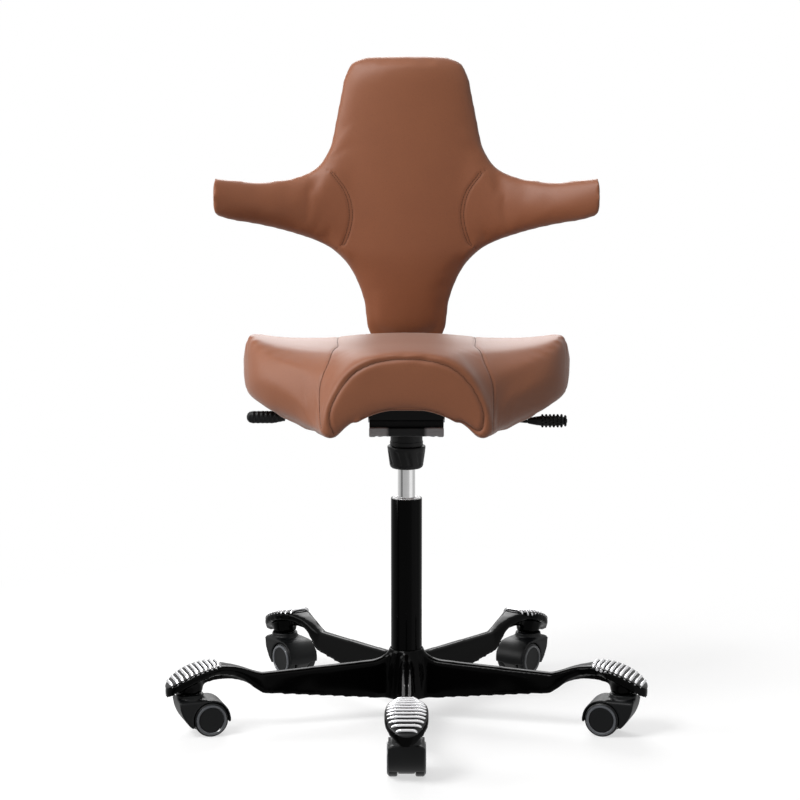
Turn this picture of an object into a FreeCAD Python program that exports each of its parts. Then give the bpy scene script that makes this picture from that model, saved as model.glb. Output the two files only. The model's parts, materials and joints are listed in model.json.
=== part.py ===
# Saddle stool: a padded saddle seat and a cross-shaped back on a gas lift, over a
# five-armed base with ribbed foot grips and twin-wheel casters.
# Millimetres. The origin is on the floor under the column, +Z is up, the front faces -Y.
import FreeCAD
import Part
import math
import os
from collections import namedtuple
from types import SimpleNamespace
import Sketcher
from FreeCAD import Placement, Rotation, Vector

DIMENSIONS = {
    # Fits: a shaft in its bore, two faces that pass each other, two fixed faces.
    "running_fit": 0.05,
    "passing_gap": 0.4,
    "seat_gap": 0.1,
    # Column and gas lift.
    "column_diameter": 50,
    "column_foot_diameter": 47.4,
    "column_wall": 2,
    "column_top": 360,
    "column_bottom": 36,
    "bush_length": 70,
    "bush_recess": 2.5,
    "cylinder_diameter": 28,
    "cylinder_wall": 2,
    "cylinder_bottom": 100,
    "cylinder_cap": 10,
    "cylinder_chamber_top": 398,
    "cylinder_cone_length": 24,
    "cylinder_cone_shrink": 1.6,
    "cylinder_top": 486,
    "rod_diameter": 10,
    "rod_end": 26,
    "piston_height": 330,
    "piston_thickness": 12,
    "bearing_diameter": 30,
    "bearing_thickness": 7,
    "valve_diameter": 8,
    "valve_height": 4,
    # Five-armed base.
    "hub_top": 116,
    "hub_bottom": 31,
    "hub_waist_diameter": 72,
    "hub_rim_diameter": 56,
    "arm_length": 242,
    "arm_root_bottom": 33,
    "arm_root_top": 98,
    "arm_end_bottom": 58.5,
    "arm_end_top": 91,
    "arm_half_width": 15,
    "arm_crest_half_width": 9,
    "arm_wall": 4,
    "neck_length": 44,
    "blade_thickness": 15,
    "keel_thickness": 9,
    "caster_circle": 360,
    "socket_diameter": 42,
    # Oval pads at the arm ends and the ribbed grips on them.
    "pad_crown_radius": 138,
    "pad_crown_axis": 311,
    "pad_crown_height": 116,
    "pad_start": 305,
    "pad_end": 398,
    "pad_width": 67,
    "pad_thickness": 13,
    "grip_margin": 4,
    "grip_plate": 1.6,
    "rib_height": 3.2,
    "rib_width": 4.2,
    "rib_pitch": 7.7,
    "rib_count": 11,
    # Twin-wheel casters.
    "wheel_diameter": 54.6,
    "wheel_width": 16,
    "wheel_gap": 26.7,
    "wheel_disc_diameter": 42,
    "wheel_disc_recess": 1.2,
    "caster_trail": 29,
    "axle_diameter": 8,
    "hood_radius": 31.5,
    "hood_clearance": 1.1,
    "hood_shoulder": 1.5,
    "collar_diameter": 44,
    "collar_top": 67.4,
    "stem_diameter": 11,
    "stem_depth": 30,
    "stem_reach": 26,
    # Mechanism under the seat.
    "housing_half_width": 52,
    "housing_bottom": 476,
    "housing_top": 500,
    "housing_front": 84,
    "housing_rear": 58,
    "housing_rear_drop": 14,
    "tray_wall": 3,
    "apron_half_width": 58.5,
    "apron_depth": 8,
    "apron_height": 15,
    "tilt_axis_y": -45,
    "tilt_axis_height": 494,
    "tilt_shaft_diameter": 10,
    "neck_diameter": 53,
    "neck_bottom": 445,
    "thread_diameter": 42,
    "thread_bottom": 413,
    "knob_top_diameter": 61,
    "knob_foot_diameter": 54,
    "knob_bottom": 408,
    "knob_flute_count": 10,
    "knob_flute_depth": 1.4,
    "rubber_diameter": 20,
    "rubber_half_length": 40,
    "cheek_thickness": 5,
    "carrier_bottom": 508,
    "carrier_thickness": 7,
    "carrier_front": 88,
    "carrier_rear": 108,
    # Steel bar that carries the back, and the seat pan over it.
    "bar_width": 60,
    "bar_thickness": 8,
    "bar_front": 30,
    "bar_bend_radius": 44,
    "bar_upright": 262,
    "bar_top": 715,
    "pan_thickness": 9.2,
    "pan_front": 112,
    "pan_rear": 168,
    "pan_half_width": 96,
    "screw_diameter": 6,
    # Levers under the wings, which turn in the housing.
    "lever_thickness": 5,
    "lever_width": 14,
    "lever_pivot": 46,
    "lever_pivot_height": 494,
    "lever_pin_diameter": 5,
    "lever_drop_right": 9.5,
    "lever_drop_left": 3.5,
    "lever_reach": 258,
    "finger_thickness": 4,
    "lock_finger_end": 10,
    "lock_block_top": 502,
    "grip_length": 64,
    "grip_height_right": 22,
    "grip_height_left": 20,
    "grip_depth": 20,
    "tooth_pitch": 6,
    # Seat cushion.
    "seat_half_width": 267,
    "seat_front": 200,
    "seat_rear": 188,
    "seat_crest": 616,
    # Back cushion.
    "back_top": 1067,
    "back_bottom": 572,
    "back_front": 198,
    "back_thickness": 46,
    "back_crown": 9,
    "wing_half_span": 324,
    "wing_tip_top": 866,
    "wing_tip_bottom": 797,
    "wing_forward": 74,
    "wing_thickness": 44,
    "bracket_bottom": 585,
    "bracket_height": 155,
    "bracket_wall": 5,
    "bracket_half_width": 42,
}

document = FreeCAD.newDocument("saddle_stool")
sheet = document.addObject("Spreadsheet::Sheet", "Sizes")
for row, (alias, value) in enumerate(DIMENSIONS.items(), start=1):
    sheet.set(f"A{row}", alias)
    sheet.set(f"B{row}", str(value))
    sheet.setAlias(f"B{row}", alias)
document.recompute()


class Size:
    """A length with its formula: the number places the drawing, the formula binds it."""

    def __init__(self, value, formula):
        self.value = value
        self.formula = formula

    def __add__(self, other):
        other = sized(other)
        return Size(self.value + other.value, f"({self.formula} + {other.formula})")

    def __sub__(self, other):
        other = sized(other)
        return Size(self.value - other.value, f"({self.formula} - {other.formula})")

    def __mul__(self, other):
        other = sized(other)
        return Size(self.value * other.value, f"{self.formula} * {other.formula}")

    def __truediv__(self, other):
        other = sized(other)
        return Size(self.value / other.value, f"{self.formula} / {other.formula}")

    def __radd__(self, other):
        return sized(other) + self

    def __rsub__(self, other):
        return sized(other) - self

    def __rmul__(self, other):
        return sized(other) * self

    def __neg__(self):
        return sized(0) - self


def sized(number):
    return number if isinstance(number, Size) else Size(number, f"({number:.6f})")


def root(square):
    return Size(math.sqrt(square.value), f"sqrt({square.formula})")


size = SimpleNamespace(**{alias: Size(value, f"Sizes.{alias}") for alias, value in DIMENSIONS.items()})

# A run of an outline is a corner that a straight line goes to, or a Bend: an arc through
# one point to the next corner.
Bend = namedtuple("Bend", "via end")


def piece(label, x=0, y=0, z=0, turn=0):
    body = document.addObject("PartDesign::Body", label)
    body.Label = label
    x, y, z = sized(x), sized(y), sized(z)
    body.Placement = Placement(Vector(x.value, y.value, z.value), Rotation(Vector(0, 0, 1), turn))
    for axis, place in zip("xyz", (x, y, z)):
        body.setExpression(f"Placement.Base.{axis}", place.formula)
    return body


def origin_plane(body, role):
    return next(item for item in body.Origin.OriginFeatures if item.Role == role)


def sketch(body, name, role, *outlines, away=0):
    """Closed outlines on one of the body's own planes, each corner sized from the origin."""
    drawing = body.newObject("Sketcher::SketchObject", name)
    drawing.AttachmentSupport = [(origin_plane(body, role), "")]
    drawing.MapMode = "FlatFace"
    away = sized(away)
    drawing.AttachmentOffset = Placement(Vector(0, 0, away.value), Rotation())
    drawing.setExpression("AttachmentOffset.Base.z", away.formula)
    rules = []
    formulas = []

    def fix(point, place):
        u, v = sized(place[0]), sized(place[1])
        for kind, part in (("DistanceX", u), ("DistanceY", v)):
            formulas.append((len(rules), part.formula))
            rules.append(Sketcher.Constraint(kind, -1, 1, point[0], point[1], part.value))

    def flat(place):
        return Vector(sized(place[0]).value, sized(place[1]).value, 0)

    for outline in outlines:
        corners = [run.end if isinstance(run, Bend) else run for run in outline]
        ends = []
        for number, run in enumerate(outline):
            start, end = flat(corners[number - 1]), flat(corners[number])
            if isinstance(run, Bend):
                line = drawing.addGeometry(Part.Arc(start, flat(run.via), end), False)
                forward = drawing.getPoint(line, 1).distanceToPoint(start) < drawing.getPoint(
                    line, 2).distanceToPoint(start)
                ends.append(((line, 1), (line, 2)) if forward else ((line, 2), (line, 1)))
                mark = drawing.addGeometry(Part.Point(flat(run.via)), True)
                rules.append(Sketcher.Constraint("PointOnObject", mark, 1, line))
                fix((mark, 1), run.via)
            else:
                line = drawing.addGeometry(Part.LineSegment(start, end), False)
                ends.append(((line, 1), (line, 2)))
        for number, corner in enumerate(corners):
            following = ends[(number + 1) % len(ends)][0]
            rules.append(Sketcher.Constraint("Coincident", *ends[number][1], *following))
            fix(ends[number][1], corner)
    drawing.addConstraint(rules)
    for number, formula in formulas:
        drawing.setExpression(f"Constraints[{number}]", formula)
    return drawing


def circle_sketch(body, name, role, diameter, u=0, v=0, away=0):
    drawing = body.newObject("Sketcher::SketchObject", name)
    drawing.AttachmentSupport = [(origin_plane(body, role), "")]
    drawing.MapMode = "FlatFace"
    diameter, u, v, away = sized(diameter), sized(u), sized(v), sized(away)
    drawing.AttachmentOffset = Placement(Vector(0, 0, away.value), Rotation())
    drawing.setExpression("AttachmentOffset.Base.z", away.formula)
    ring = Part.Circle(Vector(u.value, v.value, 0), Vector(0, 0, 1), diameter.value / 2)
    drawing.addGeometry(ring, False)
    drawing.addConstraint([
        Sketcher.Constraint("DistanceX", -1, 1, 0, 3, u.value),
        Sketcher.Constraint("DistanceY", -1, 1, 0, 3, v.value),
        Sketcher.Constraint("Diameter", 0, diameter.value),
    ])
    for number, part in enumerate((u, v, diameter)):
        drawing.setExpression(f"Constraints[{number}]", part.formula)
    return drawing


def feature(body, kind, name, **settings):
    made = body.newObject(f"PartDesign::{kind}", name)
    for setting, value in settings.items():
        if isinstance(value, Size):
            setattr(made, setting, value.value)
            made.setExpression(setting, value.formula)
        else:
            setattr(made, setting, value)
    return made


def pad(body, drawing, length, both=False, name="pad", reverse=False):
    return feature(body, "Pad", name, Profile=drawing, Length=sized(length),
                   SideType="Symmetric" if both else "One side", Reversed=reverse)


def pocket(body, drawing, depth, both=False, name="pocket", reverse=False):
    return feature(body, "Pocket", name, Profile=drawing, Length=sized(depth),
                   SideType="Symmetric" if both else "One side", Reversed=reverse)


def turned(body, drawing, axis="V_Axis", name="turning"):
    return feature(body, "Revolution", name, Profile=drawing, ReferenceAxis=(drawing, [axis]),
                   Angle=360)


def loft(body, drawings, name="loft", ruled=False, cut=False):
    return feature(body, "SubtractiveLoft" if cut else "AdditiveLoft", name,
                   Profile=drawings[0], Sections=drawings[1:], Ruled=ruled)


def ring_outline(inner, outer, bottom, top):
    return [(inner, bottom), (outer, bottom), (outer, top), (inner, top)]


def rectangle(left, right, low, high):
    return [(left, low), (right, low), (right, high), (left, high)]


# Column tube, guide bush and gas lift

column_radius = size.column_diameter / 2
column_bore = column_radius - size.column_wall
cylinder_radius = size.cylinder_diameter / 2
rod_radius = size.rod_diameter / 2
column_floor = size.column_bottom + 2 * size.column_wall
rim_round = 1.0


def column_tube():
    body = piece("column_tube")
    foot = size.column_foot_diameter / 2
    outline = [
        (rod_radius + size.passing_gap, size.column_bottom),
        (foot, size.column_bottom),
        (column_radius, size.hub_top),
        (column_radius, size.column_top - rim_round),
        (column_radius - rim_round, size.column_top),
        (column_bore, size.column_top),
        (column_bore, size.hub_top),
        (foot - size.column_wall, column_floor),
        (rod_radius + size.passing_gap, column_floor),
    ]
    turned(body, sketch(body, "tube_profile", "XZ_Plane", outline))


def guide_bush():
    body = piece("guide_bush")
    top = size.column_top - size.bush_recess
    inner = cylinder_radius + size.running_fit
    outline = [
        (inner, top - size.bush_length),
        (column_bore - size.seat_gap, top - size.bush_length),
        (column_bore - size.seat_gap, top),
        (inner + 2 * rim_round, top),
        (inner, top - 2 * rim_round),
    ]
    turned(body, sketch(body, "bush_profile", "XZ_Plane", outline))


def piston_rod():
    body = piece("piston_rod")
    groove = size.rod_diameter / 10
    clip_low = size.column_bottom - size.passing_gap - size.column_wall
    outline = [
        (0, size.rod_end),
        (rod_radius, size.rod_end),
        (rod_radius, clip_low),
        (rod_radius - groove, clip_low),
        (rod_radius - groove, clip_low + size.column_wall),
        (rod_radius, clip_low + size.column_wall),
        (rod_radius, size.piston_height),
        (0, size.piston_height),
    ]
    turned(body, sketch(body, "rod_profile", "XZ_Plane", outline))


def rod_clip():
    body = piece("rod_clip")
    low = size.column_bottom - size.passing_gap - size.column_wall + size.seat_gap
    high = low + size.column_wall - 2 * size.seat_gap
    outline = ring_outline(rod_radius - size.rod_diameter / 10 + size.seat_gap, 2 * rod_radius, low, high)
    turned(body, sketch(body, "clip_profile", "XZ_Plane", outline))


def thrust_bearing():
    body = piece("thrust_bearing")
    low = column_floor + size.passing_gap
    high = low + size.bearing_thickness
    radius = size.bearing_diameter / 2
    waist = 1.2
    outline = [
        (rod_radius + size.seat_gap, low),
        (radius, low),
        (radius, low + waist),
        (radius - waist, low + waist),
        (radius - waist, high - waist),
        (radius, high - waist),
        (radius, high),
        (rod_radius + size.seat_gap, high),
    ]
    turned(body, sketch(body, "bearing_profile", "XZ_Plane", outline))


def piston():
    body = piece("piston")
    bore = cylinder_radius - size.cylinder_wall
    low = size.piston_height + size.seat_gap
    turned(body, sketch(body, "piston_profile", "XZ_Plane", ring_outline(
        0, bore - size.passing_gap, low, low + size.piston_thickness)))


def gas_cylinder():
    body = piece("gas_cylinder")
    bore = cylinder_radius - size.cylinder_wall
    cone_start = size.cylinder_top - size.cylinder_cone_length
    outline = [
        (rod_radius + size.running_fit, size.cylinder_bottom),
        (cylinder_radius, size.cylinder_bottom),
        (cylinder_radius, cone_start),
        (cylinder_radius - size.cylinder_cone_shrink / 2, size.cylinder_top),
        (size.valve_diameter / 2 + size.running_fit, size.cylinder_top),
        (size.valve_diameter / 2 + size.running_fit, size.cylinder_chamber_top),
        (bore, size.cylinder_chamber_top),
        (bore, size.cylinder_bottom + size.cylinder_cap),
        (rod_radius + size.running_fit, size.cylinder_bottom + size.cylinder_cap),
    ]
    turned(body, sketch(body, "cylinder_profile", "XZ_Plane", outline))


def valve_pin():
    body = piece("valve_pin")
    top = size.cylinder_top + size.valve_height
    radius = size.valve_diameter / 2
    outline = [
        (0, size.cylinder_top - size.cylinder_cone_length),
        (radius, size.cylinder_top - size.cylinder_cone_length),
        (radius, top - 1),
        (radius - 1, top),
        (0, top),
    ]
    turned(body, sketch(body, "pin_profile", "XZ_Plane", outline))


# Five-armed base

arm_angles = [360 / 5 * number for number in range(5)]


def arm_section(body, name, station, low, high, half_low, half_high, round_radius):
    """A box section across the arm, wide at the foot, with a rounded crest."""
    corner = half_high - round_radius
    shoulder = high - round_radius
    lean = math.sqrt(0.5)
    return sketch(body, name, "YZ_Plane", [
        (-half_low, low),
        (half_low, low),
        (half_high, shoulder),
        Bend((corner + round_radius * lean, shoulder + round_radius * lean), (corner, high)),
        (-corner, high),
        Bend((-corner - round_radius * lean, shoulder + round_radius * lean), (-half_high, shoulder)),
    ], away=station)


def crown_height(station, drop=0):
    """Height of the crowned pad at a distance from the column, less a drop along the radius."""
    axis = size.pad_crown_height - size.pad_crown_radius
    radius = size.pad_crown_radius - drop
    across = station - size.pad_crown_axis
    return axis + root(radius * radius - across * across)


def oval(start, end, width):
    """Outline of an oval pad in plan: a blunt inner end and a rounder outer end."""
    middle = (start + end) / 2
    half = sized(width) / 2
    reach = (end - start) / 2
    side = reach * 0.28
    near = reach * 0.72
    cheek = half * 0.74
    return [
        (middle - side, -half),
        (middle + side, -half),
        Bend((middle + near, -cheek), (end, -half * 0.22)),
        Bend((end + 0.6, 0), (end, half * 0.22)),
        Bend((middle + near, cheek), (middle + side, half)),
        (middle - side, half),
        Bend((middle - near, cheek), (start, half * 0.22)),
        Bend((start - 0.6, 0), (start, -half * 0.22)),
    ]


def crowned_band(start, end, top_drop, bottom_drop):
    """Side outline of a plate that follows the crown of the pad between two drops."""
    middle = (start + end) / 2
    return [
        (start, crown_height(start, bottom_drop)),
        Bend((middle, crown_height(middle, bottom_drop)), (end, crown_height(end, bottom_drop))),
        (end, crown_height(end, top_drop)),
        Bend((middle, crown_height(middle, top_drop)), (start, crown_height(start, top_drop))),
    ]


def base_star():
    body = piece("base_star", turn=-90)
    grip_drop = size.rib_height + size.grip_plate
    # Oval pad at the end of one arm, cut to its plan outline.
    band = sketch(body, "pad_side", "XZ_Plane", crowned_band(
        size.pad_start - 2, size.pad_end + 2, grip_drop, grip_drop + size.pad_thickness))
    pads = [pad(body, band, size.pad_width + 6, both=True, name="arm_pad")]
    trim = sketch(
        body, "pad_plan", "XY_Plane",
        rectangle(size.pad_start - 8, size.pad_end + 8, -size.pad_width / 2 - 8, size.pad_width / 2 + 8),
        oval(size.pad_start, size.pad_end, size.pad_width))
    pads.append(pocket(body, trim, 2 * size.pad_crown_height, both=True, name="pad_trim"))
    # The beam of the arm, deep at the hub, and the bent neck that rises to the pad.
    length = size.arm_length
    rise = size.arm_root_top
    beam = [
        arm_section(body, "beam_root", 24, size.arm_root_bottom - 1, size.hub_top - 1, 11, 6, 4),
        arm_section(body, "beam_flare", 32, size.arm_root_bottom, rise + 9, 12, 6.5, 4),
        arm_section(body, "beam_sweep", 42, size.arm_root_bottom + 1, rise + 2.5, 13.5, 7.5, 4.5),
        arm_section(body, "beam_start", 56, size.arm_root_bottom + 2, rise - 1,
                    size.arm_half_width, size.arm_crest_half_width, 5),
        arm_section(body, "beam_end", length, size.arm_end_bottom, size.arm_end_top,
                    size.arm_half_width, size.arm_crest_half_width, 5),
    ]
    arms = [loft(body, beam, name="arm_beam", ruled=True)]
    blade_top = crown_height(size.pad_start, grip_drop) - 0.5
    neck_end = length + size.neck_length
    neck = [
        arm_section(body, "neck_start", length, size.arm_end_bottom, size.arm_end_top,
                    size.arm_half_width, size.arm_crest_half_width, 5),
        arm_section(body, "neck_bend", length + size.neck_length * 0.36, size.arm_end_bottom + 11,
                    size.arm_end_top + 5, 13.5, 10.5, 5),
        arm_section(body, "neck_rise", length + size.neck_length * 0.72, blade_top - size.blade_thickness - 11,
                    blade_top - 8, 13, 12, 4.5),
        arm_section(body, "neck_blade", neck_end + 4, blade_top - size.blade_thickness - 4, blade_top - 3,
                    14, 14, 4),
        arm_section(body, "neck_spread", size.pad_start + 4, blade_top - size.blade_thickness, blade_top,
                    19, 20, 3),
        arm_section(body, "neck_tail", size.pad_start + 26, blade_top - size.blade_thickness + 1,
                    blade_top - 2, 22, 23, 3),
    ]
    arms.append(loft(body, neck, name="arm_neck", ruled=True))
    # Central keel under the neck, and the round socket of the caster stem.
    stem_axis = size.caster_circle
    keel = sketch(body, "keel_side", "XZ_Plane", [
        (length + 14, size.arm_end_bottom + 12),
        Bend((length + 52, size.arm_end_bottom + 25.5), (stem_axis - 16, size.arm_end_bottom + 19)),
        (stem_axis - 16, blade_top - 8),
        (neck_end, blade_top - 8),
    ])
    arms.append(pad(body, keel, size.keel_thickness, both=True, name="arm_keel"))
    socket_low = size.collar_top + size.passing_gap
    socket = circle_sketch(body, "socket_circle", "XY_Plane", size.socket_diameter, u=stem_axis,
                           away=socket_low)
    socket_high = crown_height(stem_axis + size.socket_diameter / 2, grip_drop + 1)
    arms.append(pad(body, socket, socket_high - socket_low, name="stem_socket"))
    bore = circle_sketch(body, "stem_bore_circle", "XY_Plane", size.stem_diameter + 2 * size.running_fit,
                         u=stem_axis, away=socket_low - 1)
    arms.append(pocket(body, bore, size.stem_reach + 2, name="stem_bore", reverse=True))
    # Open channel on the underside of the beam.
    wall = size.arm_wall
    channel = [
        arm_section(body, "channel_start", 62, size.arm_root_bottom - 8, rise - 1 - 1.6 * wall,
                    size.arm_half_width - wall, size.arm_crest_half_width - 0.6 * wall, 3),
        arm_section(body, "channel_end", length - 12, size.arm_end_bottom - 8,
                    size.arm_end_top - 1.6 * wall,
                    size.arm_half_width - wall, size.arm_crest_half_width - 0.6 * wall, 3),
    ]
    channels = loft(body, channel, name="arm_channel", cut=True, ruled=True)
    spin = feature(body, "PolarPattern", "five_arms", Originals=pads + arms + [channels],
                   Axis=(origin_plane(body, "Z_Axis"), [""]), Angle=360, Occurrences=5)
    body.Tip = spin
    # Hub turned over the arm roots, with the tapered bore of the column.
    waist = size.hub_waist_diameter / 2
    rim = size.hub_rim_diameter / 2
    hub = sketch(body, "hub_profile", "XZ_Plane", [
        (0, size.hub_bottom),
        (waist - 4, size.hub_bottom),
        (waist, size.hub_bottom + 5),
        (waist, size.arm_root_top - 22),
        Bend((waist - 3.5, size.arm_root_top - 4), (rim, size.hub_top - 3)),
        (rim - 1, size.hub_top),
        (0, size.hub_top),
    ])
    turned(body, hub, name="hub")
    foot = size.column_foot_diameter / 2 + size.seat_gap
    bore_top = column_radius + size.seat_gap
    cavity = sketch(body, "hub_bore_profile", "XZ_Plane", [
        (0, size.hub_bottom - 20),
        (foot - 4, size.hub_bottom - 20),
        (foot - 4, size.column_bottom - size.seat_gap),
        (foot, size.column_bottom - size.seat_gap),
        (bore_top, size.hub_top),
        (bore_top, size.hub_top + 20),
        (0, size.hub_top + 20),
    ])
    feature(body, "Groove", "hub_bore", Profile=cavity, ReferenceAxis=(cavity, ["V_Axis"]), Angle=360)
    return body


def foot_grip(number, angle):
    body = piece(f"foot_grip_{number}", turn=angle - 90)
    start = size.pad_start + size.grip_margin
    end = size.pad_end - size.grip_margin
    width = size.pad_width - 2 * size.grip_margin
    lift = size.rib_height - size.seat_gap
    band = sketch(body, "plate_side", "XZ_Plane", crowned_band(start - 2, end + 2, 0, lift + size.grip_plate))
    plate = pad(body, band, width + 4, both=True, name="plate")
    trim = sketch(body, "plate_plan", "XY_Plane",
                  rectangle(start - 6, end + 6, -width / 2 - 6, width / 2 + 6),
                  oval(start, end, width))
    pocket(body, trim, 2 * size.pad_crown_height, both=True, name="plate_trim")
    # Grooves across the plate leave the ribs standing.
    groove_width = size.rib_pitch - size.rib_width
    first = (start + end) / 2 - size.rib_pitch * (size.rib_count / 2) + size.rib_width / 2
    floor = size.pad_crown_radius - size.rib_height
    grooves = []
    for rib in range(int(size.rib_count.value)):
        place = first + size.rib_pitch * rib
        low = crown_height(place + groove_width / 2, size.rib_height)
        grooves.append([
            (place, low),
            (place + groove_width, low),
            (place + groove_width, low + 2 * floor / 10),
            (place, low + 2 * floor / 10),
        ])
    cut = sketch(body, "groove_side", "XZ_Plane", *grooves)
    pocket(body, cut, size.pad_width + 20, both=True, name="grooves")
    return body


# Twin-wheel casters

wheel_radius = size.wheel_diameter / 2
wheel_inner = size.wheel_gap / 2
wheel_outer = wheel_inner + size.wheel_width
axle_radius = size.axle_diameter / 2


def on_circle(radius, degrees):
    """A point round the axle, seen from the side, in the frame of the caster stem."""
    angle = math.radians(degrees)
    return (size.caster_trail + radius * math.cos(angle), wheel_radius + radius * math.sin(angle))


def caster_place(angle):
    """Stem axis of the caster at the end of an arm; the caster trails towards the column."""
    heading = math.radians(angle - 90)
    return dict(x=size.caster_circle * math.cos(heading), y=size.caster_circle * math.sin(heading),
                turn=angle + 90)


def axle_place(angle):
    heading = math.radians(angle - 90)
    reach = size.caster_circle - size.caster_trail
    return dict(x=reach * math.cos(heading), y=reach * math.sin(heading), z=wheel_radius,
                turn=angle + 90)


def caster_hood(number, angle):
    body = piece(f"caster_{number}_hood", **caster_place(angle))
    collar = size.collar_diameter / 2
    neck_line = size.collar_top - 7
    outer = size.hood_radius
    inner = wheel_radius + size.hood_clearance
    tail = (-1.5, wheel_radius - 12.5)
    back = [
        (-collar, neck_line),
        Bend((-collar + 4.5, wheel_radius + 10), tail),
    ]
    roof = [
        on_circle(outer, -10),
        Bend(on_circle(outer, 45), on_circle(outer, 98)),
        (collar, neck_line),
    ]
    web_foot = wheel_radius / 3
    web = back + [(8, web_foot), (size.caster_trail + 20, web_foot)] + roof
    pad(body, sketch(body, "web_side", "XZ_Plane", web), size.wheel_gap - 1, both=True, name="web")
    fender = back + [on_circle(inner, 204), Bend(on_circle(inner, 97), on_circle(inner, -10))] + roof
    pad(body, sketch(body, "fender_side", "XZ_Plane", fender),
        2 * wheel_outer - 2 * size.hood_shoulder, both=True, name="fender")
    side = wheel_outer + 2
    shoulder = size.hood_radius + wheel_radius
    corners = [[
        (way * side, neck_line + 1),
        (way * (collar + 0.5), neck_line + 1),
        (way * (collar + 0.5), shoulder + 0.4),
        Bend((way * (wheel_outer - 2.8), shoulder - 1.3), (way * (wheel_outer - 1), shoulder - 5)),
        (way * side, shoulder - 5),
    ] for way in (-1, 1)]
    pocket(body, sketch(body, "shoulder_front", "YZ_Plane", *corners), 4 * size.hood_radius, both=True,
           name="shoulders")
    ring = circle_sketch(body, "collar_circle", "XY_Plane", size.collar_diameter, away=neck_line - 3)
    pad(body, ring, size.collar_top - neck_line + 3, name="collar")
    stem = circle_sketch(body, "stem_circle", "XY_Plane", size.stem_diameter + 2 * size.seat_gap,
                         away=size.collar_top - size.stem_depth - size.seat_gap)
    pocket(body, stem, size.stem_depth + 4, name="stem_hole", reverse=True)
    axle = circle_sketch(body, "axle_circle", "XZ_Plane", size.axle_diameter + 2 * size.seat_gap,
                         u=size.caster_trail, v=wheel_radius)
    pocket(body, axle, 4 * wheel_outer, both=True, name="axle_hole")


def caster_stem(number, angle):
    body = piece(f"caster_{number}_stem", **caster_place(angle))
    radius = size.stem_diameter / 2
    low = size.collar_top - size.stem_depth
    high = size.collar_top + size.stem_reach
    outline = [
        (0, low),
        (radius, low),
        (radius, high - 7),
        (radius - 0.8, high - 7),
        (radius - 0.8, high - 5),
        (radius, high - 5),
        (radius, high - 2),
        (radius - 1.5, high),
        (0, high),
    ]
    turned(body, sketch(body, "stem_profile", "XZ_Plane", outline))


def caster_axle(number, angle):
    body = piece(f"caster_{number}_axle", **axle_place(angle))
    half = wheel_outer - 3.5
    turned(body, sketch(body, "axle_profile", "YZ_Plane", [
        (-half, 0),
        (-half, axle_radius),
        (half, axle_radius),
        (half, 0),
    ]), axis="H_Axis")


def caster_wheel(number, angle, side, way):
    body = piece(f"caster_{number}_wheel_{side}", **axle_place(angle))
    disc = size.wheel_disc_diameter / 2
    face = wheel_outer - size.wheel_disc_recess
    outline = [
        (way * wheel_inner, axle_radius + size.running_fit),
        (way * wheel_inner, wheel_radius - 2.5),
        (way * (wheel_inner + 2), wheel_radius),
        (way * (wheel_outer - 4), wheel_radius),
        (way * (wheel_outer - 1.5), wheel_radius - 0.9),
        (way * (wheel_outer - 0.4), wheel_radius - 2.8),
        (way * wheel_outer, disc + 2.6),
        (way * wheel_outer, disc + 0.8),
        (way * face, disc),
        (way * face, 0),
        (way * (face - 1.8), 0),
        (way * (face - 1.8), axle_radius + size.running_fit),
    ]
    turned(body, sketch(body, "wheel_profile", "YZ_Plane", outline), axis="H_Axis")


# Tilt mechanism, its knob and the levers

housing_front = -size.housing_front
tray_bottom = size.housing_bottom - size.tray_wall
cheek_inner = size.housing_half_width + size.passing_gap
cheek_outer = cheek_inner + size.cheek_thickness
pin_length = 2 * size.lever_width


def knob_neck():
    body = piece("knob_neck")
    bore = cylinder_radius + 2 * size.passing_gap
    high = tray_bottom - size.seat_gap
    turned(body, sketch(body, "neck_profile", "XZ_Plane", [
        (bore, size.thread_bottom),
        (size.thread_diameter / 2, size.thread_bottom),
        (size.thread_diameter / 2, size.neck_bottom),
        (size.neck_diameter / 2, size.neck_bottom),
        (size.neck_diameter / 2, high),
        (bore, high),
    ]))


def tension_knob():
    body = piece("tension_knob")
    hole = cylinder_radius + 2 * size.passing_gap
    bore = size.thread_diameter / 2 + size.running_fit
    top = size.neck_bottom - size.passing_gap
    foot = size.knob_foot_diameter / 2
    turned(body, sketch(body, "knob_profile", "XZ_Plane", [
        (hole, size.knob_bottom),
        (foot - 6, size.knob_bottom),
        Bend((foot - 1.7, size.knob_bottom + 1.9), (foot, size.knob_bottom + 6)),
        (size.knob_top_diameter / 2, top - 4),
        (size.knob_top_diameter / 2, top - 1),
        (size.knob_top_diameter / 2 - 1, top),
        (bore, top),
        (bore, size.thread_bottom - size.passing_gap),
        (hole, size.thread_bottom - size.passing_gap),
    ]))
    flute = circle_sketch(body, "flute_circle", "XY_Plane", 9,
                          u=size.knob_top_diameter / 2 + 4.5 - size.knob_flute_depth,
                          away=size.knob_bottom + 7)
    cut = pocket(body, flute, top - size.knob_bottom - 12, name="flute", reverse=True)
    flutes = feature(body, "PolarPattern", "flutes", Originals=[cut],
                     Axis=(origin_plane(body, "Z_Axis"), [""]), Angle=360,
                     Occurrences=int(size.knob_flute_count.value))
    body.Tip = flutes


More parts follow.
